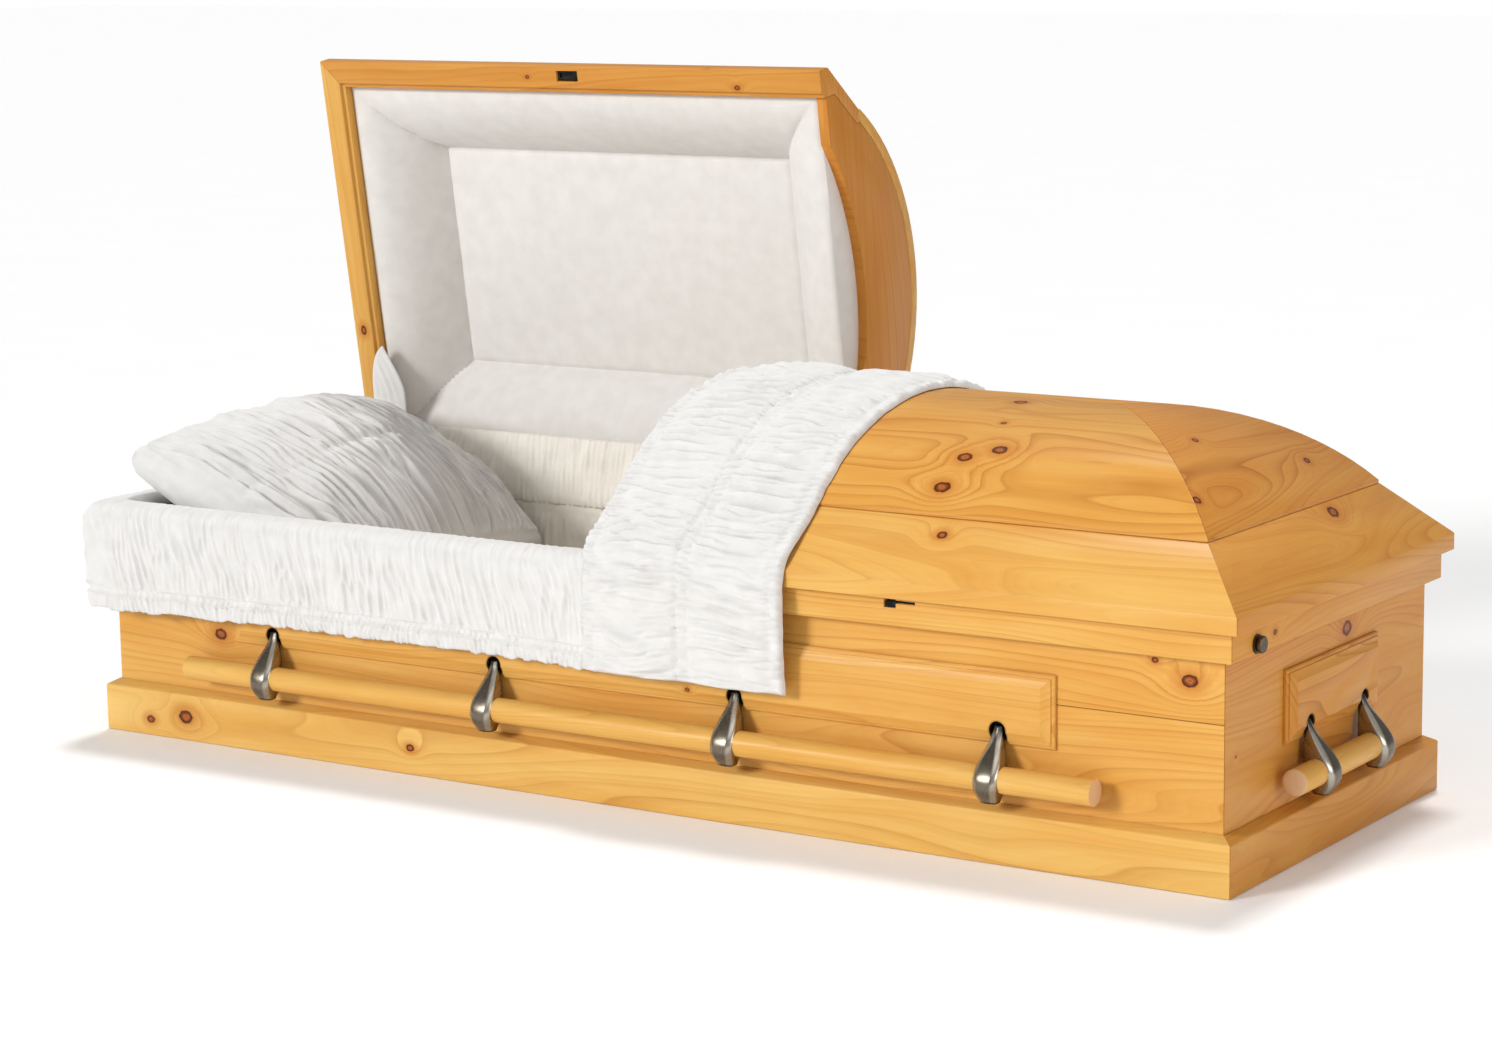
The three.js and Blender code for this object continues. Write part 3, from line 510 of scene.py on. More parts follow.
def cast_arm(node, spot, shift, turns):
    """A leaf-shaped arm with a long oval face between slanted facets, drawn out of a ring.
    It stands at spot along the front, is turned by quarter turns to its side and moved by shift in X."""
    # Each ring: height, how far out, half width, half depth
    rings = [(0.2032, 0.3504, 0.0036, 0.0022), (0.2018, 0.3504, 0.0058, 0.0046),
             (0.1995, 0.3504, 0.0070, 0.0058), (0.194, 0.3512, 0.0076, 0.0068),
             (0.187, 0.3530, 0.0086, 0.0082), (0.179, 0.3562, 0.0103, 0.0106),
             (0.170, 0.3602, 0.0132, 0.0148), (0.160, 0.3642, 0.0168, 0.0196),
             (0.149, 0.3682, 0.0192, 0.0240), (0.138, 0.3714, 0.0204, 0.0278),
             (0.127, 0.3736, 0.0205, 0.0290), (0.117, 0.3744, 0.0194, 0.0278),
             (0.108, 0.3747, 0.0174, 0.0238), (0.101, 0.3748, 0.0150, 0.0178),
             (0.0965, 0.3748, 0.0134, 0.0142), (0.0952, 0.3748, 0.0129, 0.0136),
             (0.0944, 0.3748, 0.0118, 0.0126)]
    outline = [(-0.60, -0.985), (0.0, -1.0), (0.60, -0.985), (0.70, -0.955), (0.94, -0.80), (1.0, -0.70),
               (1.0, -0.2), (0.98, 0.22), (0.82, 0.57), (0.5, 0.76), (0.0, 0.80),
               (-0.5, 0.76), (-0.82, 0.57), (-0.98, 0.22), (-1.0, -0.2),
               (-1.0, -0.70), (-0.94, -0.80), (-0.70, -0.955)]
    bpy.ops.object.select_all(action="DESELECT")
    bpy.ops.mesh.primitive_circle_add(vertices=len(outline), radius=1.0, fill_type="NGON", location=(0, 0, 0))
    arm = bpy.context.active_object
    bpy.ops.object.mode_set(mode="EDIT")
    for _ in rings[1:]:
        bpy.ops.mesh.extrude_region_move(TRANSFORM_OT_translate={"value": (0, 0, 1)})
    bpy.ops.object.mode_set(mode="OBJECT")
    oval_foot, oval_tall = 0.091, 0.087
    # Heights over which the painted highlight on the slanted facets grows
    sheen_foot, sheen_tall = 0.112, 0.05
    turn = Matrix.Rotation(math.radians(90 * turns), 4, "Z")
    painted_sheen = arm.data.attributes.new("painted_sheen", "FLOAT", "POINT")
    for vertex in arm.data.vertices:
        z, out, wide, deep = rings[round(vertex.co.z)]
        share = (math.atan2(vertex.co.y, vertex.co.x) - math.pi / 2) / (2 * math.pi)
        u, v = outline[round(share * len(outline)) % len(outline)]
        oval = 0.40 + 0.60 * math.sin(math.pi * min(max((z - oval_foot) / oval_tall, 0), 1)) ** 0.6
        if v < -0.9:
            u *= oval
        vertex.co = turn @ Vector((spot + u * wide, -out + v * deep, z))
        vertex.co.x += shift
        # Painted light: the oval front face is dark as a painted reflection, the slanted facets bright as a
        # painted highlight growing towards the top, the rest in between
        bright = 0.35 + 0.65 * min(max((z - sheen_foot) / sheen_tall, 0), 1)
        painted_sheen.data[vertex.index].value = 0.05 if v < -0.98 else bright if v < -0.75 else 0.35
    outward(arm)
    apply_modifier(arm, "SUBSURF", levels=1, render_levels=1)
    smooth(arm, 60)
    return finish_piece(arm, node + "_cast", nickel, body_of[node], [node])


for side, turns, shift, spots in (("front", 0, 0, SIDE_ARMS), ("back", 2, 0, SIDE_ARMS),
                                  ("head", 3, -RIDGE, END_ARMS), ("foot", 1, RIDGE, END_ARMS)):
    for number, spot in enumerate(spots, 1):
        cast_arm(f"arm_{side}_{number}", spot, shift, turns)

for node in ("end_lock", "head_latch", "foot_latch", "head_hinge_plate", "foot_hinge_plate",
             "head_lid_hinge_leaf", "foot_lid_hinge_leaf"):
    kind = black_iron if "latch" in node else bronze
    frame["nodes"][node].data.materials.clear()
    frame["nodes"][node].data.materials.append(kind)


# Cloth: noise for gathers, and surfaces that carry them

def soft_noise(u, v, seed):
    """Smooth noise from 0 to 1, over lattice steps of 1."""
    table = np.random.default_rng(seed).random((128, 128))
    iu, iv = np.floor(u).astype(int), np.floor(v).astype(int)
    fu, fv = u - iu, v - iv
    fu, fv = fu * fu * (3 - 2 * fu), fv * fv * (3 - 2 * fv)

    def at(a, b):
        return table[(iu + a) % 128, (iv + b) % 128]

    return (at(0, 0) * (1 - fu) + at(1, 0) * fu) * (1 - fv) + (at(0, 1) * (1 - fu) + at(1, 1) * fu) * fv


def gathers(across, along, gap, length, seed):
    """Height from 0 to 1 of gathered cloth: round ridges and sharp valleys that wander, fork and fade."""
    def ridges(gap, length, seed):
        sway = 1.5 * (soft_noise(across / (3.3 * gap), along / length, seed) - 0.5)
        drift = 2.0 * (soft_noise(across / (11 * gap), along / (2.2 * length), seed + 1) - 0.5)
        strong = soft_noise(across / (1.4 * gap) + 9, along / (0.8 * length), seed + 2)
        round_top = np.abs(np.sin(np.pi * (across / gap + sway + drift))) ** 0.8
        return round_top * (0.15 + 0.85 * np.clip(1.9 * strong - 0.35, 0, 1))
    return 0.62 * ridges(gap, length, seed) + 0.38 * ridges(0.57 * gap, 0.6 * length, seed + 7)


def bump_at(where, middle, width):
    """A smooth bump of height 1 about the middle, for seams and what lies between them."""
    return np.exp(-(((where - middle) / width) ** 2))


def grid_faces(rows, cols, around=False):
    """Quads over rows of points; around joins the last row to the first."""
    faces = []
    for r in range(rows if around else rows - 1):
        below = ((r + 1) % rows) * cols
        for c in range(cols - 1):
            a = r * cols + c
            faces.append((a, a + 1, below + c + 1, below + c))
    return faces


def tube_of(name, points):
    """A closed body from a (rows, cols, 3) array whose rows run round its section."""
    rows, cols = points.shape[:2]
    faces = grid_faces(rows, cols, True)
    faces.append([r * cols for r in range(rows)])
    faces.append([r * cols + cols - 1 for r in reversed(range(rows))])
    return object_of(name, points.reshape(-1, 3), faces)


def spaced(corners, step):
    """Points along a polyline at even steps, with each point's distance."""
    corners = np.array(corners, float)
    lengths = np.r_[0, np.cumsum(np.linalg.norm(np.diff(corners, axis=0), axis=1))]
    count = max(2, int(round(lengths[-1] / step)) + 1)
    s = np.linspace(0, lengths[-1], count)
    return np.stack([np.interp(s, lengths, corners[:, k]) for k in range(corners.shape[1])], 1), s


def rounded(corners, passes=3):
    """Corner cutting, with the ends kept."""
    corners = np.array(corners, float)
    for _ in range(passes):
        a, b = corners[:-1], corners[1:]
        cut = np.empty((2 * len(a), corners.shape[1]))
        cut[0::2], cut[1::2] = 0.75 * a + 0.25 * b, 0.25 * a + 0.75 * b
        corners = np.vstack([corners[:1], cut, corners[-1:]])
    return corners


def outside_of(profile):
    """Unit normals of a profile of (out, z) points, on its right-hand side."""
    run = np.gradient(profile, axis=0)
    run /= np.linalg.norm(run, axis=1)[:, None] + 1e-12
    return np.stack([run[:, 1], -run[:, 0]], 1)


# Skirted roll over the rim of the head half

def make_skirt():
    outer = rounded([(0.3835, 0.2115), (0.3865, 0.232), (0.3845, 0.2505), (0.3868, 0.268), (0.388, 0.31),
                     (0.3892, 0.345), (0.3872, 0.3715), (0.377, 0.3860), (0.353, 0.3905), (0.328, 0.3885),
                     (0.3142, 0.380), (0.3115, 0.3695)], 3)
    face, t = spaced(outer, 0.0004)
    rows = np.unique(np.r_[np.arange(0, 0.018, 0.003), np.arange(0.018, 0.050, 0.0017),
                           np.arange(0.050, t[-1], 0.006), t[-1]])
    face, t = np.stack([np.interp(rows, t, face[:, k]) for k in (0, 1)], 1), rows
    inner, _ = spaced([(0.3215, 0.3695), (0.3215, 0.3723), (0.3632, 0.3723), (0.3632, 0.333),
                       (0.3742, 0.321), (0.3765, 0.2125)], 0.02)
    section = np.vstack([face, inner])
    normal = np.vstack([-outside_of(face), np.zeros_like(inner)])
    height = np.r_[t, np.zeros(len(inner))]
    visible = np.r_[np.ones(len(face)), np.zeros(len(inner))]
    front = np.linspace(-0.009, -RIDGE - SKIRT_INNER, 530)
    turn = np.linspace(0, 1, 40)[1:-1]
    end = np.linspace(-SKIRT_INNER, 0.317, 335)
    columns = [(x, -SKIRT_INNER, 0, -1, -x) for x in front]
    corner, corner_run = 0.985, 0.11
    hem_seam, frill_seam, seam_wide = 0.0245, 0.0405, 0.0024
    for share in turn:
        angle = share * math.pi / 2
        dx, dy = -math.sin(angle), -math.cos(angle)
        stretch = 1 / max(abs(dx), abs(dy)) ** 0.72
        columns.append((front[-1], -SKIRT_INNER, dx * stretch, dy * stretch, corner + corner_run * share))
    columns += [(front[-1], y, -1, 0, corner + corner_run + y + SKIRT_INNER) for y in end]
    columns = np.array(columns)
    s, v = np.broadcast_arrays(columns[:, 4][None, :], height[:, None])
    lively = visible[:, None]
    folds = gathers(s - 0.22 * v, v, 0.0185, 0.065, 11)
    frill = gathers(s, v, 0.0110, 0.03, 17)
    seam = bump_at(v, hem_seam, seam_wide) + bump_at(v, frill_seam, seam_wide)
    hem = np.clip((0.040 - v) / 0.006, 0, 1)
    fade = 0.22 + 0.78 * np.clip((0.20 - v) / 0.09, 0, 1)
    between = bump_at(v, 0.0325, 0.010)
    lift = lively * ((1 - hem) * fade * 0.0090 * (folds - 0.45) * (1 - 0.75 * between)
                     + hem * 0.0060 * (frill - 0.3) - 0.0030 * seam + 0.0015 * between)
    out = section[:, 0][:, None] + normal[:, 0][:, None] * lift - SKIRT_INNER
    z = section[:, 1][:, None] + normal[:, 1][:, None] * lift
    level = np.zeros_like(s)
    sag = 0.004 * (soft_noise(s / 0.22, level, 5) - 0.5) + 0.0055 * (soft_noise(s / 0.014, level, 6) - 0.5)
    z = z + sag * np.clip((0.26 - z) / 0.05, 0, 1)
    z = z + 0.0075 * np.sin(np.pi * np.clip(s, 0, 1)) * np.clip((0.34 - z) / 0.12, 0, 1)
    x = columns[:, 0][None, :] + columns[:, 2][None, :] * out
    y = columns[:, 1][None, :] + columns[:, 3][None, :] * out
    skirt = tube_of("skirt", np.stack([x, y, z], 2))
    outward(skirt)
    smooth(skirt, 180)
    finish_piece(skirt, "ruched_rim_skirt", white_cloth, "case", ["rim_skirt"])
    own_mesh(skirt)


make_skirt()


# Throw over the foot lid

def make_throw():
    crown_radius, crown_centre, crown_edge = 0.380, 0.240, 0.2893
    lift = 0.0015
    radius = crown_radius + lift
    arc_start = math.asin(-(crown_edge + 0.001) / radius)
    arc_end = math.asin(0.25 / radius)
    line = [(-0.3790, 0.2125), (-0.3815, 0.245), (-0.3842, 0.30), (-0.3846, 0.35), (-0.3822, 0.386),
            (-0.3755, 0.4075), (-0.3600, 0.4255), (-0.330, 0.4490), (-0.3085, 0.4675)]
    line += [(radius * math.sin(a), crown_centre + radius * math.cos(a))
             for a in np.linspace(arc_start + 0.02, arc_end, 40)]
    under, t = spaced(rounded(line, 2), 0.00205)
    normal = -outside_of(under)
    left_at = np.interp(under[:, 0], [-0.378, -0.36, -0.30, -0.24, -0.17, -0.096, 0.0, 0.25],
                        [-0.0300, -0.0255, -0.0230, -0.0150, -0.0120, -0.0045, -0.003, -0.002])
    hanging = under[:, 1] < 0.39
    left_at[hanging] = np.interp(under[:, 1][hanging], [0.213, 0.338, 0.39], [-0.034, -0.029, -0.0275])
    right_at = np.interp(under[:, 0], [-0.378, -0.335, -0.29, -0.228, -0.158, -0.075, 0.08, 0.25],
                         [0.329, 0.332, 0.337, 0.343, 0.349, 0.358, 0.372, 0.376])
    share = np.linspace(0, 1, 92)[None, :]
    x = left_at[:, None] * (1 - share) + right_at[:, None] * share
    v = t[:, None] + 0 * share
    wave = 0.0022 * (soft_noise(v / 0.016, share * 2.0, 31) - 0.5)
    x = x + wave * (np.clip(1 - share / 0.1, 0, 1) + np.clip((share - 0.9) / 0.1, 0, 1))
    middle, half_band = 0.513, 0.03
    seams = (0.062, middle - half_band, middle + half_band, 0.94)
    puff = np.zeros_like(share)
    for a, b in (seams[:2], seams[2:]):
        inside = (share > a) & (share < b)
        puff = np.where(inside, np.sin(np.pi * np.clip((share - a) / (b - a), 0, 1)) ** 0.55, puff)
    edge = np.clip(np.minimum(share, 1 - share) / 0.016, 0, 1) ** 0.5
    ends = np.clip(np.minimum(v, t[-1] - v) / 0.007, 0, 1) ** 0.5
    folds = gathers(v, x, 0.0235, 0.10, 41)
    pucker = gathers(v, x, 0.0105, 0.03, 47)
    stitch = sum(bump_at(share, seam, 0.005) for seam in seams)
    hem_seam = bump_at(v, 0.016, 0.002)
    height = (0.0050 + puff * 0.0195 * folds + (1 - puff) * 0.0085 * pucker - 0.0022 * stitch
              - 0.001 * hem_seam)
    height = lift * 0.2 + np.maximum(height, 0.0012) * edge * ends
    dips = 0.004 * (soft_noise(x / 0.06, v * 0 + 2.2, 53) - 0.5) * np.clip(1 - v / 0.05, 0, 1)
    top = np.stack([x, under[:, 0][:, None] + normal[:, 0][:, None] * height + 0 * x,
                    under[:, 1][:, None] + normal[:, 1][:, None] * height + dips], 2)
    base = np.stack([x, under[:, 0][:, None] + 0 * x, under[:, 1][:, None] + dips], 2)
    rows, cols = x.shape
    faces = grid_faces(rows, cols)
    count = rows * cols
    faces += [tuple(count + i for i in reversed(face)) for face in grid_faces(rows, cols)]
    rim = [r * cols for r in range(rows)] + [(rows - 1) * cols + c for c in range(1, cols)]
    rim += [r * cols + cols - 1 for r in range(rows - 2, -1, -1)] + list(range(cols - 2, 0, -1))
    for a, b in zip(rim, rim[1:] + rim[:1]):
        faces.append((a, b, count + b, count + a))
    throw = object_of("throw_cloth", np.vstack([top.reshape(-1, 3), base.reshape(-1, 3)]), faces)
    outward(throw)
    smooth(throw, 180)
    finish_piece(throw, "ruched_throw", white_cloth, "foot_lid", ["throw"])
    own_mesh(throw)


make_throw()


# Cushions

def cube_skin(nx, ny, nz):
    """Points on the faces of a cube from -1 to 1, with quads; the seams are merged later."""
    points, faces = [], []
    for axis, side in ((2, 1), (2, -1), (0, 1), (0, -1), (1, 1), (1, -1)):
        counts = (nx, ny, nz)
        a, b = [k for k in range(3) if k != axis]
        grid_a, grid_b = np.meshgrid(np.linspace(-1, 1, counts[a] + 1), np.linspace(-1, 1, counts[b] + 1),
                                     indexing="ij")
        block = np.zeros(grid_a.shape + (3,))
        block[..., a], block[..., b], block[..., axis] = grid_a, grid_b, side
        offset = len(points)
        points += list(block.reshape(-1, 3))
        faces += [tuple(offset + i for i in face) for face in grid_faces(*grid_a.shape)]
    return np.array(points), faces


def make_pillow():
    skin, faces = cube_skin(96, 210, 14)
    u, v, w = skin.T
    half = np.array([0.222, 0.296, 0.030])
    rise, fall = 0.066, 0.034
    middle_x, middle_z, tilt = -0.817, 0.351, math.radians(28.2)
    pull = 1 - 0.05 * (1 - np.abs(v) ** 2) * (np.abs(u) > 0.98)
    x = u * half[0] * (1 - 0.035 * (1 - np.abs(v)) - 0.03 * np.abs(u * v) ** 3)
    y = v * half[1] * (1 - 0.025 * (1 - np.abs(u)) - 0.03 * np.abs(u * v) ** 3) * pull
    crown = (1 - np.abs(u) ** 2.6) * (1 - np.abs(v) ** 2.6)
    z = w * half[2] + np.where(w > 0.99, rise * crown, 0) - np.where(w < -0.99, fall * crown, 0)
    z = z + (w + 1) / 2 * 0.030 * (1 - np.abs(u * v) ** 1.7)
    bulge = (1 - w ** 2) * 0.011
    x = x + np.where(np.abs(u) > 0.99, np.sign(u) * bulge, 0)
    y = y + np.where(np.abs(v) > 0.99, np.sign(v) * bulge, 0)
    top = np.clip((w - 0.9) / 0.1, 0, 1)
    side = 1 - np.clip((np.abs(w) - 0.9) / 0.1, 0, 1)
    seam = bump_at(u, 0, 0.035)
    rim = np.clip((1 - np.maximum(np.abs(u), np.abs(v))) / 0.05, 0, 1) ** 0.5
    fan = y * (1 + 0.10 * u)
    folds = gathers(fan, x, 0.0215, 0.13, 61)
    tight = gathers(fan, x, 0.0105, 0.03, 67)
    stitch = bump_at(u, 0.03, 0.012) + bump_at(u, -0.03, 0.012)
    z = z + top * rim * ((1 - 0.55 * seam) * 0.0215 * folds + seam * 0.0075 * tight - 0.0006 * stitch - 0.005)
    piping = bump_at(w, 0.82, 0.10)
    x = x - np.where(np.abs(u) > 0.99, np.sign(u) * 0.004 * piping, 0)
    y = y - np.where(np.abs(v) > 0.99, np.sign(v) * 0.004 * piping, 0)
    wrinkle = 0.004 * (gathers(z, x + y, 0.02, 0.09, 71) - 0.5) * side
    y = y + np.where(np.abs(v) > 0.99, np.sign(v) * wrinkle, 0)
    points = np.stack([x * math.cos(tilt) + z * math.sin(tilt) + middle_x, y,
                       -x * math.sin(tilt) + z * math.cos(tilt) + middle_z], 1)
    pillow = object_of("pillow_form", points, faces)
    outward(pillow)
    smooth(pillow, 180)
    finish_piece(pillow, "ruched_pillow", white_cloth, "case", ["pillow"])
    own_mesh(pillow)


make_pillow()


def make_mattress():
    skin, faces = cube_skin(220, 72, 10)
    u, v, w = skin.T
    half_long, half_wide, half_thick, middle_z = 0.982, 0.309, 0.092, 0.1135
    x = u * half_long
    y = v * half_wide
    round_off = np.abs(u) ** 40 + np.abs(v) ** 14
    z = middle_z + w * half_thick
    crown = (1 - np.abs(u) ** 12) * (1 - np.abs(v) ** 4)
    wrinkles = gathers(x, y, 0.09, 0.2, 81) * 0.003
    z = z + np.where(w > 0.99, 0.004 * crown + wrinkles * crown - 0.006 - 0.006 * np.clip(round_off, 0, 1), 0)
    mattress = object_of("mattress_form", np.stack([x, y, z], 1), faces)
    outward(mattress)
    smooth(mattress, 60)
    finish_piece(mattress, "covered_mattress", lining_cloth, "case", ["mattress"])


make_mattress()


# Gathered lining inside the walls

def make_body_lining():
    low, high = 0.186, 0.3655
    z = np.linspace(low, high, 34)
    back = np.array([high, 0.30, low])
    half_y = 0.3225
    half_x = RIDGE + half_y
    radius = 0.018
    step = 0.0042
    path = []
    corners = [np.array([x * half_x, y * half_y]) for x, y in ((-1, -1), (1, -1), (1, 1), (-1, 1))]
    for a, b in zip(corners, corners[1:] + corners[:1]):
        run = (b - a) / np.linalg.norm(b - a)
        a, b = a + run * radius, b - run * radius
        inward = np.array([-run[1], run[0]])
        count = int(np.linalg.norm(b - a) / step)
        path += [(*p, *inward) for p in a + (b - a) * np.linspace(0, 1, count)[:, None]]
        centre = b + inward * radius
        start = math.atan2(-inward[1], -inward[0])
        for k in range(1, 5):
            angle = start + k * math.pi / 10
            path.append((centre[0] + radius * math.cos(angle), centre[1] + radius * math.sin(angle),
                         -math.cos(angle), -math.sin(angle)))
    path = np.array(path + path[:1])
    s = np.r_[0, np.cumsum(np.linalg.norm(np.diff(path[:, :2], axis=0), axis=1))]
    rows_z = np.r_[z, back]
    visible = np.r_[np.ones(len(z)), np.zeros(len(back))][:, None]
    seam = bump_at(rows_z, 0.302, 0.004) + bump_at(rows_z, 0.317, 0.004)
    tight = bump_at(rows_z, 0.3095, 0.012)[:, None]
    across, along = np.broadcast_arrays(s[None, :], rows_z[:, None])
    folds = gathers(across, along, 0.0115, 0.06, 91)
    fine = gathers(across, along, 0.007, 0.02, 97)
    top = np.clip((high - rows_z) / 0.012, 0, 1)[:, None] ** 0.5
    puff = (1 - tight) * 0.0062 * folds + tight * 0.003 * fine - 0.002 * seam[:, None]
    depth = visible * (0.002 + top * (0.0012 + puff))
    x = path[:, 0][None, :] + path[:, 2][None, :] * depth
    y = path[:, 1][None, :] + path[:, 3][None, :] * depth
    points = np.stack([x, y, along], 2)
    rows, cols = x.shape
    lining = object_of("lining_form", points.reshape(-1, 3), grid_faces(rows, cols, True))
    outward(lining)
    smooth(lining, 180)
    finish_piece(lining, "gathered_body_lining", lining_cloth, "case", ["body_lining"])


make_body_lining()


# Padded linings of the lids, drawn for a closed lid

def make_lid_lining(lid, towards):
    out = 0.3283
    header_border, end_border, side_border = 0.133, 0.113, 0.1283
    header = towards * SPLIT + HALF_SPLIT_GAP + HEADER_DEEP
    end = RIDGE + out
    x = np.linspace(header, end, 196)
    y = np.linspace(-out, out, 132)
    gx, gy = np.meshgrid(x, y, indexing="ij")
    from_header, from_end = (gx - header) / header_border, (end - gx) / end_border
    from_side = (out - np.abs(gy)) / side_border
    share = np.minimum(np.minimum(from_header, from_end), from_side)
    e = np.clip(share, 0, 1)
    rise = PANEL_Z - LINING_RIM_Z
    bulge = 0.030 * np.sin(np.pi * e) ** 0.7
    seam = 0.004 * bump_at(share, 1.0, 0.03) + 0.0025 * bump_at(np.clip(share - 1, 0, 9), 0, 0.09)
    soft = 0.0026 * (soft_noise(gx / 0.10, gy / 0.085, 101) - 0.5) * np.clip(e * 6, 0, 1)
    mitre = np.zeros_like(gx)
    for from_short_side in (from_header, from_end):
        mitre = np.maximum(mitre, bump_at(from_short_side - from_side, 0, 0.035) * (share < 1))
    z = LINING_RIM_Z + rise * e - bulge + soft + seam + 0.004 * mitre * np.sin(np.pi * e)
    arch = (ARCH_HALF ** 2 + (ARCH_TOP - ARCH_FOOT) ** 2) / (2 * (ARCH_TOP - ARCH_FOOT))
    flat_y = np.clip(np.abs(y), 0, ARCH_HALF)
    top = ARCH_TOP - arch + np.sqrt(arch ** 2 - flat_y ** 2) + 0.006
    strip = []
    for back, climb in ((0.0032, 1.0), (0.0030, 0.66), (0.0024, 0.33), (0.0012, 0.08)):
        height = LINING_RIM_Z + np.maximum(top - LINING_RIM_Z, 0) * climb
        strip.append(np.stack([np.full_like(y, header - back), y, height], 1))
    points = np.concatenate([np.array(strip), np.stack([gx, gy, z], 2)])
    points[..., 0] *= towards
    if lid == "head_lid":
        points = opened(points)
    rows, cols = points.shape[:2]
    lining = object_of(lid + "_pad", points.reshape(-1, 3), grid_faces(rows, cols))
    inside = Vector((0, 0, -1)) if lid == "foot_lid" else Vector((0, -1, 0))
    if lining.data.polygons[len(lining.data.polygons) // 2].normal.dot(inside) < 0:
        edit_all(lining)
        bpy.ops.mesh.flip_normals()
        bpy.ops.object.mode_set(mode="OBJECT")
    apply_modifier(lining, "SOLIDIFY", thickness=0.004, offset=-1.0)
    smooth(lining, 40)
    finish_piece(lining, lid + "_padded_lining", smooth_cloth, lid, [lid + "_lining"])


make_lid_lining("head_lid", -1)
make_lid_lining("foot_lid", 1)


# Gathered cloth from the back wall up to the open lid, over the hinges

def make_hinge_cloth():
    line = rounded([(0.3216, 0.3180), (0.3178, 0.326), (0.3175, 0.345), (0.3195, 0.372), (0.327, 0.400),
                    (0.3385, 0.434)], 2)
    face, t = spaced(line, 0.005)
    x, v = np.broadcast_arrays(np.linspace(-0.93, -0.012, 330)[None, :], t[:, None])
    folds = gathers(x, v, 0.0115, 0.06, 111)
    normal = -outside_of(face)
    depth = 0.0055 * folds
    y = face[:, 0][:, None] + normal[:, 0][:, None] * depth
    z = face[:, 1][:, None] + normal[:, 1][:, None] * depth
    piece = object_of("hinge_cloth_form", np.stack([x, y, z], 2).reshape(-1, 3), grid_faces(*x.shape))
    apply_modifier(piece, "SOLIDIFY", thickness=0.0012, offset=0.0)
    smooth(piece, 180)
    finish_piece(piece, "gathered_hinge_cloth", lining_cloth, None)
    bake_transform(piece)


make_hinge_cloth()


# Loose end of the hinge cloth, folded up into the open lid's lower corner

def make_corner_flap():
    left = rounded([(-1.026, 0.400), (-1.028, 0.470), (-1.0235, 0.5215), (-1.010, 0.557), (-0.992, 0.572)], 2)
    right = rounded([(-0.958, 0.400), (-0.954, 0.468), (-0.953, 0.494), (-0.966, 0.525), (-0.981, 0.552),
                     (-0.992, 0.572)], 2)
    z = np.linspace(0.400, 0.5715, 44)[:, None]
    share = np.linspace(0, 1, 22)[None, :]
    left_x, right_x = np.interp(z, left[:, 1], left[:, 0]), np.interp(z, right[:, 1], right[:, 0])
    x = left_x * (1 - share) + right_x * share
    height = z + 0 * share
    fold = 0.007 * gathers(x + 0.25 * height, height, 0.030, 0.12, 131) * np.sin(np.pi * share) ** 0.5
    rail_y, rail_lean, rail_z = 0.3665, 0.153, 0.388
    y = rail_y - rail_lean * (height - rail_z) - fold
    flap = object_of("flap_form", np.stack([x, y, height], 2).reshape(-1, 3), grid_faces(*x.shape))
    apply_modifier(flap, "SOLIDIFY", thickness=0.0016, offset=0.0)
    smooth(flap, 180)
    finish_piece(flap, "corner_flap", white_cloth, "head_lid")
    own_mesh(flap)


make_corner_flap()


# Keeper plates in the lids' front rails

def make_keeper(lid, towards):
    long, wide, thick = 0.0425, 0.0165, 0.006
    low = LID_BOTTOM + 0.004
    bpy.ops.object.select_all(action="DESELECT")
    bpy.ops.mesh.primitive_cube_add(size=1, location=(towards * KEEPER_X, -0.3583, low + 0.003))
    keeper = bpy.context.active_object
    keeper.scale = (long, wide, thick)
    settle(keeper)
    bpy.ops.object.mode_set(mode="EDIT")
    bpy.ops.mesh.select_all(action="DESELECT")
    bpy.ops.object.mode_set(mode="OBJECT")
    for face in keeper.data.polygons:
        face.select = face.normal.z < -0.9
    bpy.ops.object.mode_set(mode="EDIT")
    bpy.ops.mesh.select_mode(type="FACE")
    bpy.ops.mesh.inset(thickness=0.004, depth=0)
    bpy.ops.mesh.extrude_region_move(TRANSFORM_OT_translate={"value": (0, 0, 0.004)})
    bpy.ops.object.mode_set(mode="OBJECT")
    if lid == "head_lid":
        for vertex in keeper.data.vertices:
            vertex.co = Vector(opened(np.array(vertex.co)))
    apply_modifier(keeper, "BEVEL", width=0.0008, segments=2, limit_method="ANGLE",
                   angle_limit=math.radians(30))
    smooth(keeper, 35)
    finish_piece(keeper, lid + "_keeper", black_iron, lid)


make_keeper("head_lid", -1)
make_keeper("foot_lid", 1)


# Floor, light and camera

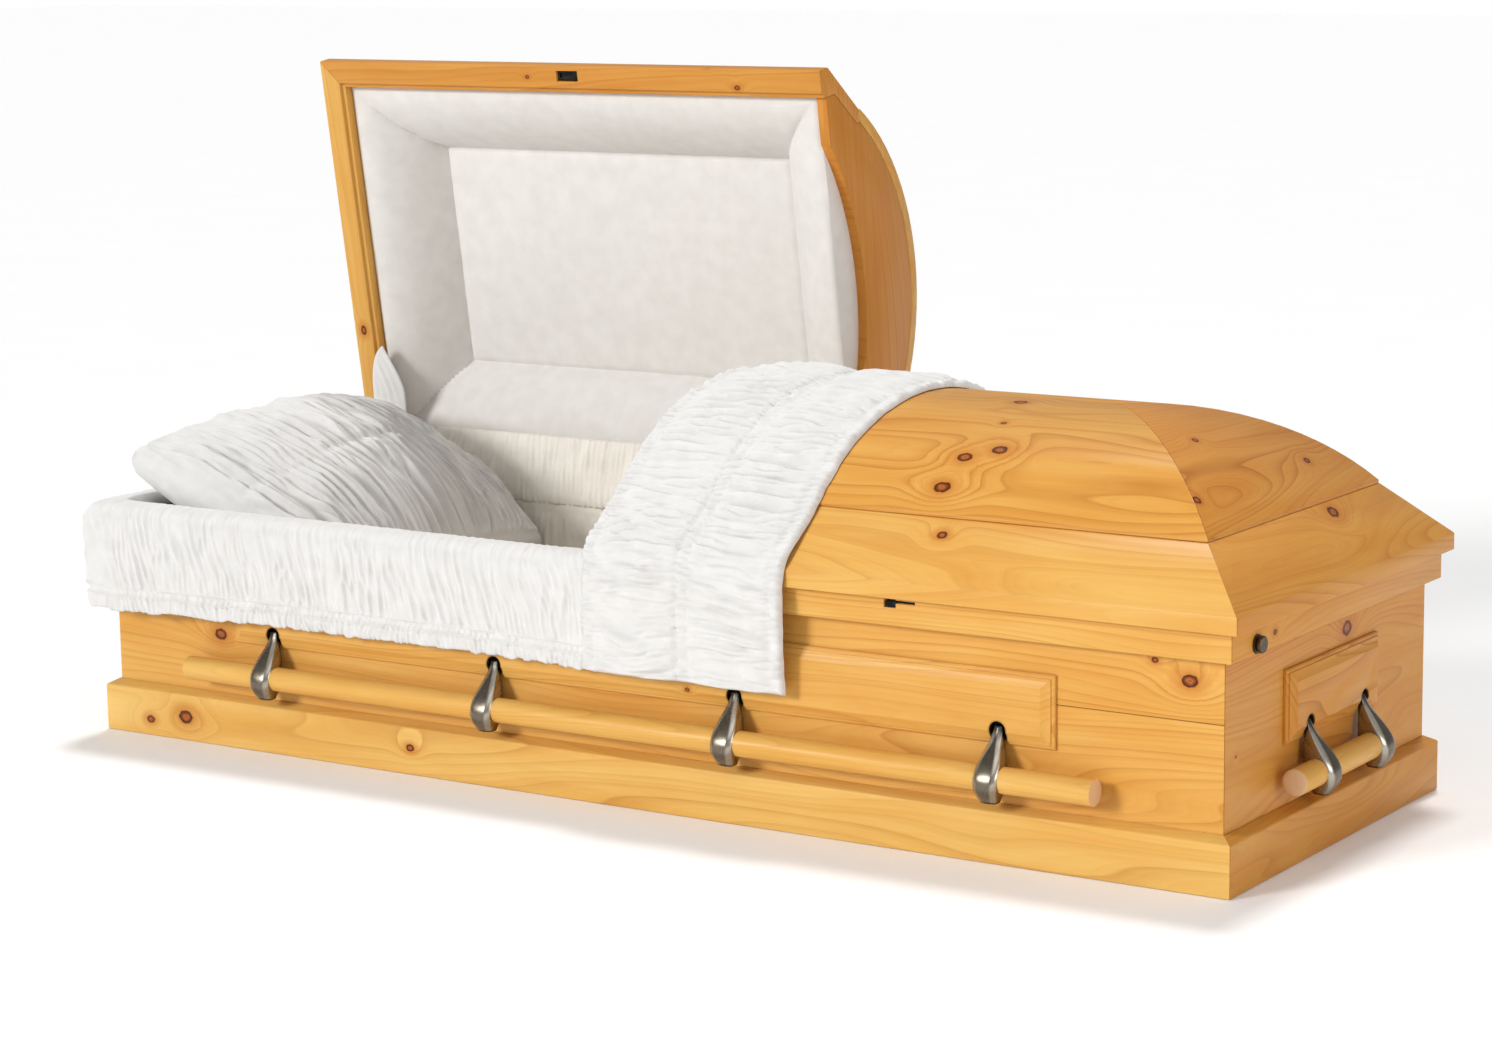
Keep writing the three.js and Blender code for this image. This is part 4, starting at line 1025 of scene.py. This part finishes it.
def lay_floor():
    bpy.ops.object.select_all(action="DESELECT")
    bpy.ops.mesh.primitive_plane_add(size=60, location=(0, 0, -0.0005))
    floor = bpy.context.active_object
    f = Finish("pale_floor")
    pale = f.mix(f.noise(f.place(), 3.0), (0.93, 0.93, 0.93), (0.95, 0.95, 0.95))
    f.put(f.shader.inputs["Base Color"], pale)
    f.gloss(Roughness=0.9, Specular_IOR_Level=0.1, Emission_Color=(1, 1, 1, 1), Emission_Strength=0.05)
    floor.name = "floor"
    floor.data.materials.append(f.material)
    floor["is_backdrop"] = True


def light(name, place, target, size, power, colour=(1, 1, 1)):
    data = bpy.data.lights.new(name, "AREA")
    data.shape = "RECTANGLE"
    data.size, data.size_y = size
    data.energy = power
    data.color = colour
    lamp = bpy.data.objects.new(name, data)
    lamp.location = place
    lamp.rotation_euler = (Vector(target) - Vector(place)).to_track_quat("-Z", "Y").to_euler()
    bpy.context.scene.collection.objects.link(lamp)


def sun(name, come_from, power, wide):
    data = bpy.data.lights.new(name, "SUN")
    data.energy = power
    data.angle = math.radians(wide)
    lamp = bpy.data.objects.new(name, data)
    lamp.rotation_euler = Vector(come_from).to_track_quat("Z", "Y").to_euler()
    bpy.context.scene.collection.objects.link(lamp)


def set_camera():
    data = bpy.data.cameras.new("camera")
    data.sensor_width = 36
    data.lens = 87.69
    data.clip_end = 200
    stand = (3.1512, -4.7448, 1.3800)
    yaw, pitch, roll = 0.584281, -0.174458, -0.0144
    look = Vector((-math.sin(yaw) * math.cos(pitch), math.cos(yaw) * math.cos(pitch), math.sin(pitch)))
    right = Vector((math.cos(yaw), math.sin(yaw), 0))
    up = right.cross(look)
    right, up = (math.cos(roll) * right + math.sin(roll) * up, math.cos(roll) * up - math.sin(roll) * right)
    camera = bpy.data.objects.new("camera", data)
    turn = Matrix((right, up, -look)).transposed().to_4x4()
    camera.matrix_world = Matrix.Translation(stand) @ turn
    bpy.context.scene.collection.objects.link(camera)
    bpy.context.scene.camera = camera


def set_world():
    world = bpy.data.worlds.new("studio")
    world.use_nodes = True
    tree = world.node_tree
    background = tree.nodes["Background"]
    background.inputs["Color"].default_value = (1, 1, 1, 1)
    seen = tree.nodes.new("ShaderNodeLightPath")
    level = tree.nodes.new("ShaderNodeMapRange")
    level.inputs["To Min"].default_value = 0.33
    level.inputs["To Max"].default_value = 1.0
    tree.links.new(seen.outputs["Is Camera Ray"], level.inputs["Value"])
    tree.links.new(level.outputs["Result"], background.inputs["Strength"])
    bpy.context.scene.world = world
    bpy.context.scene.view_settings.view_transform = "Standard"


lay_floor()
sun("key", (-0.50, -1.00, 0.42), 1.95, 16)
sun("back", (-0.14, 0.36, 1.0), 1.55, 10)
light("top_fill", (1.6, -2.4, 3.4), (-0.2, 0, 0.4), (2.4, 2.4), 13)
light("end_fill", (4.6, -1.2, 1.5), (1.0, 0, 0.3), (2.2, 1.6), 34)
set_camera()
set_world()

low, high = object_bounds()
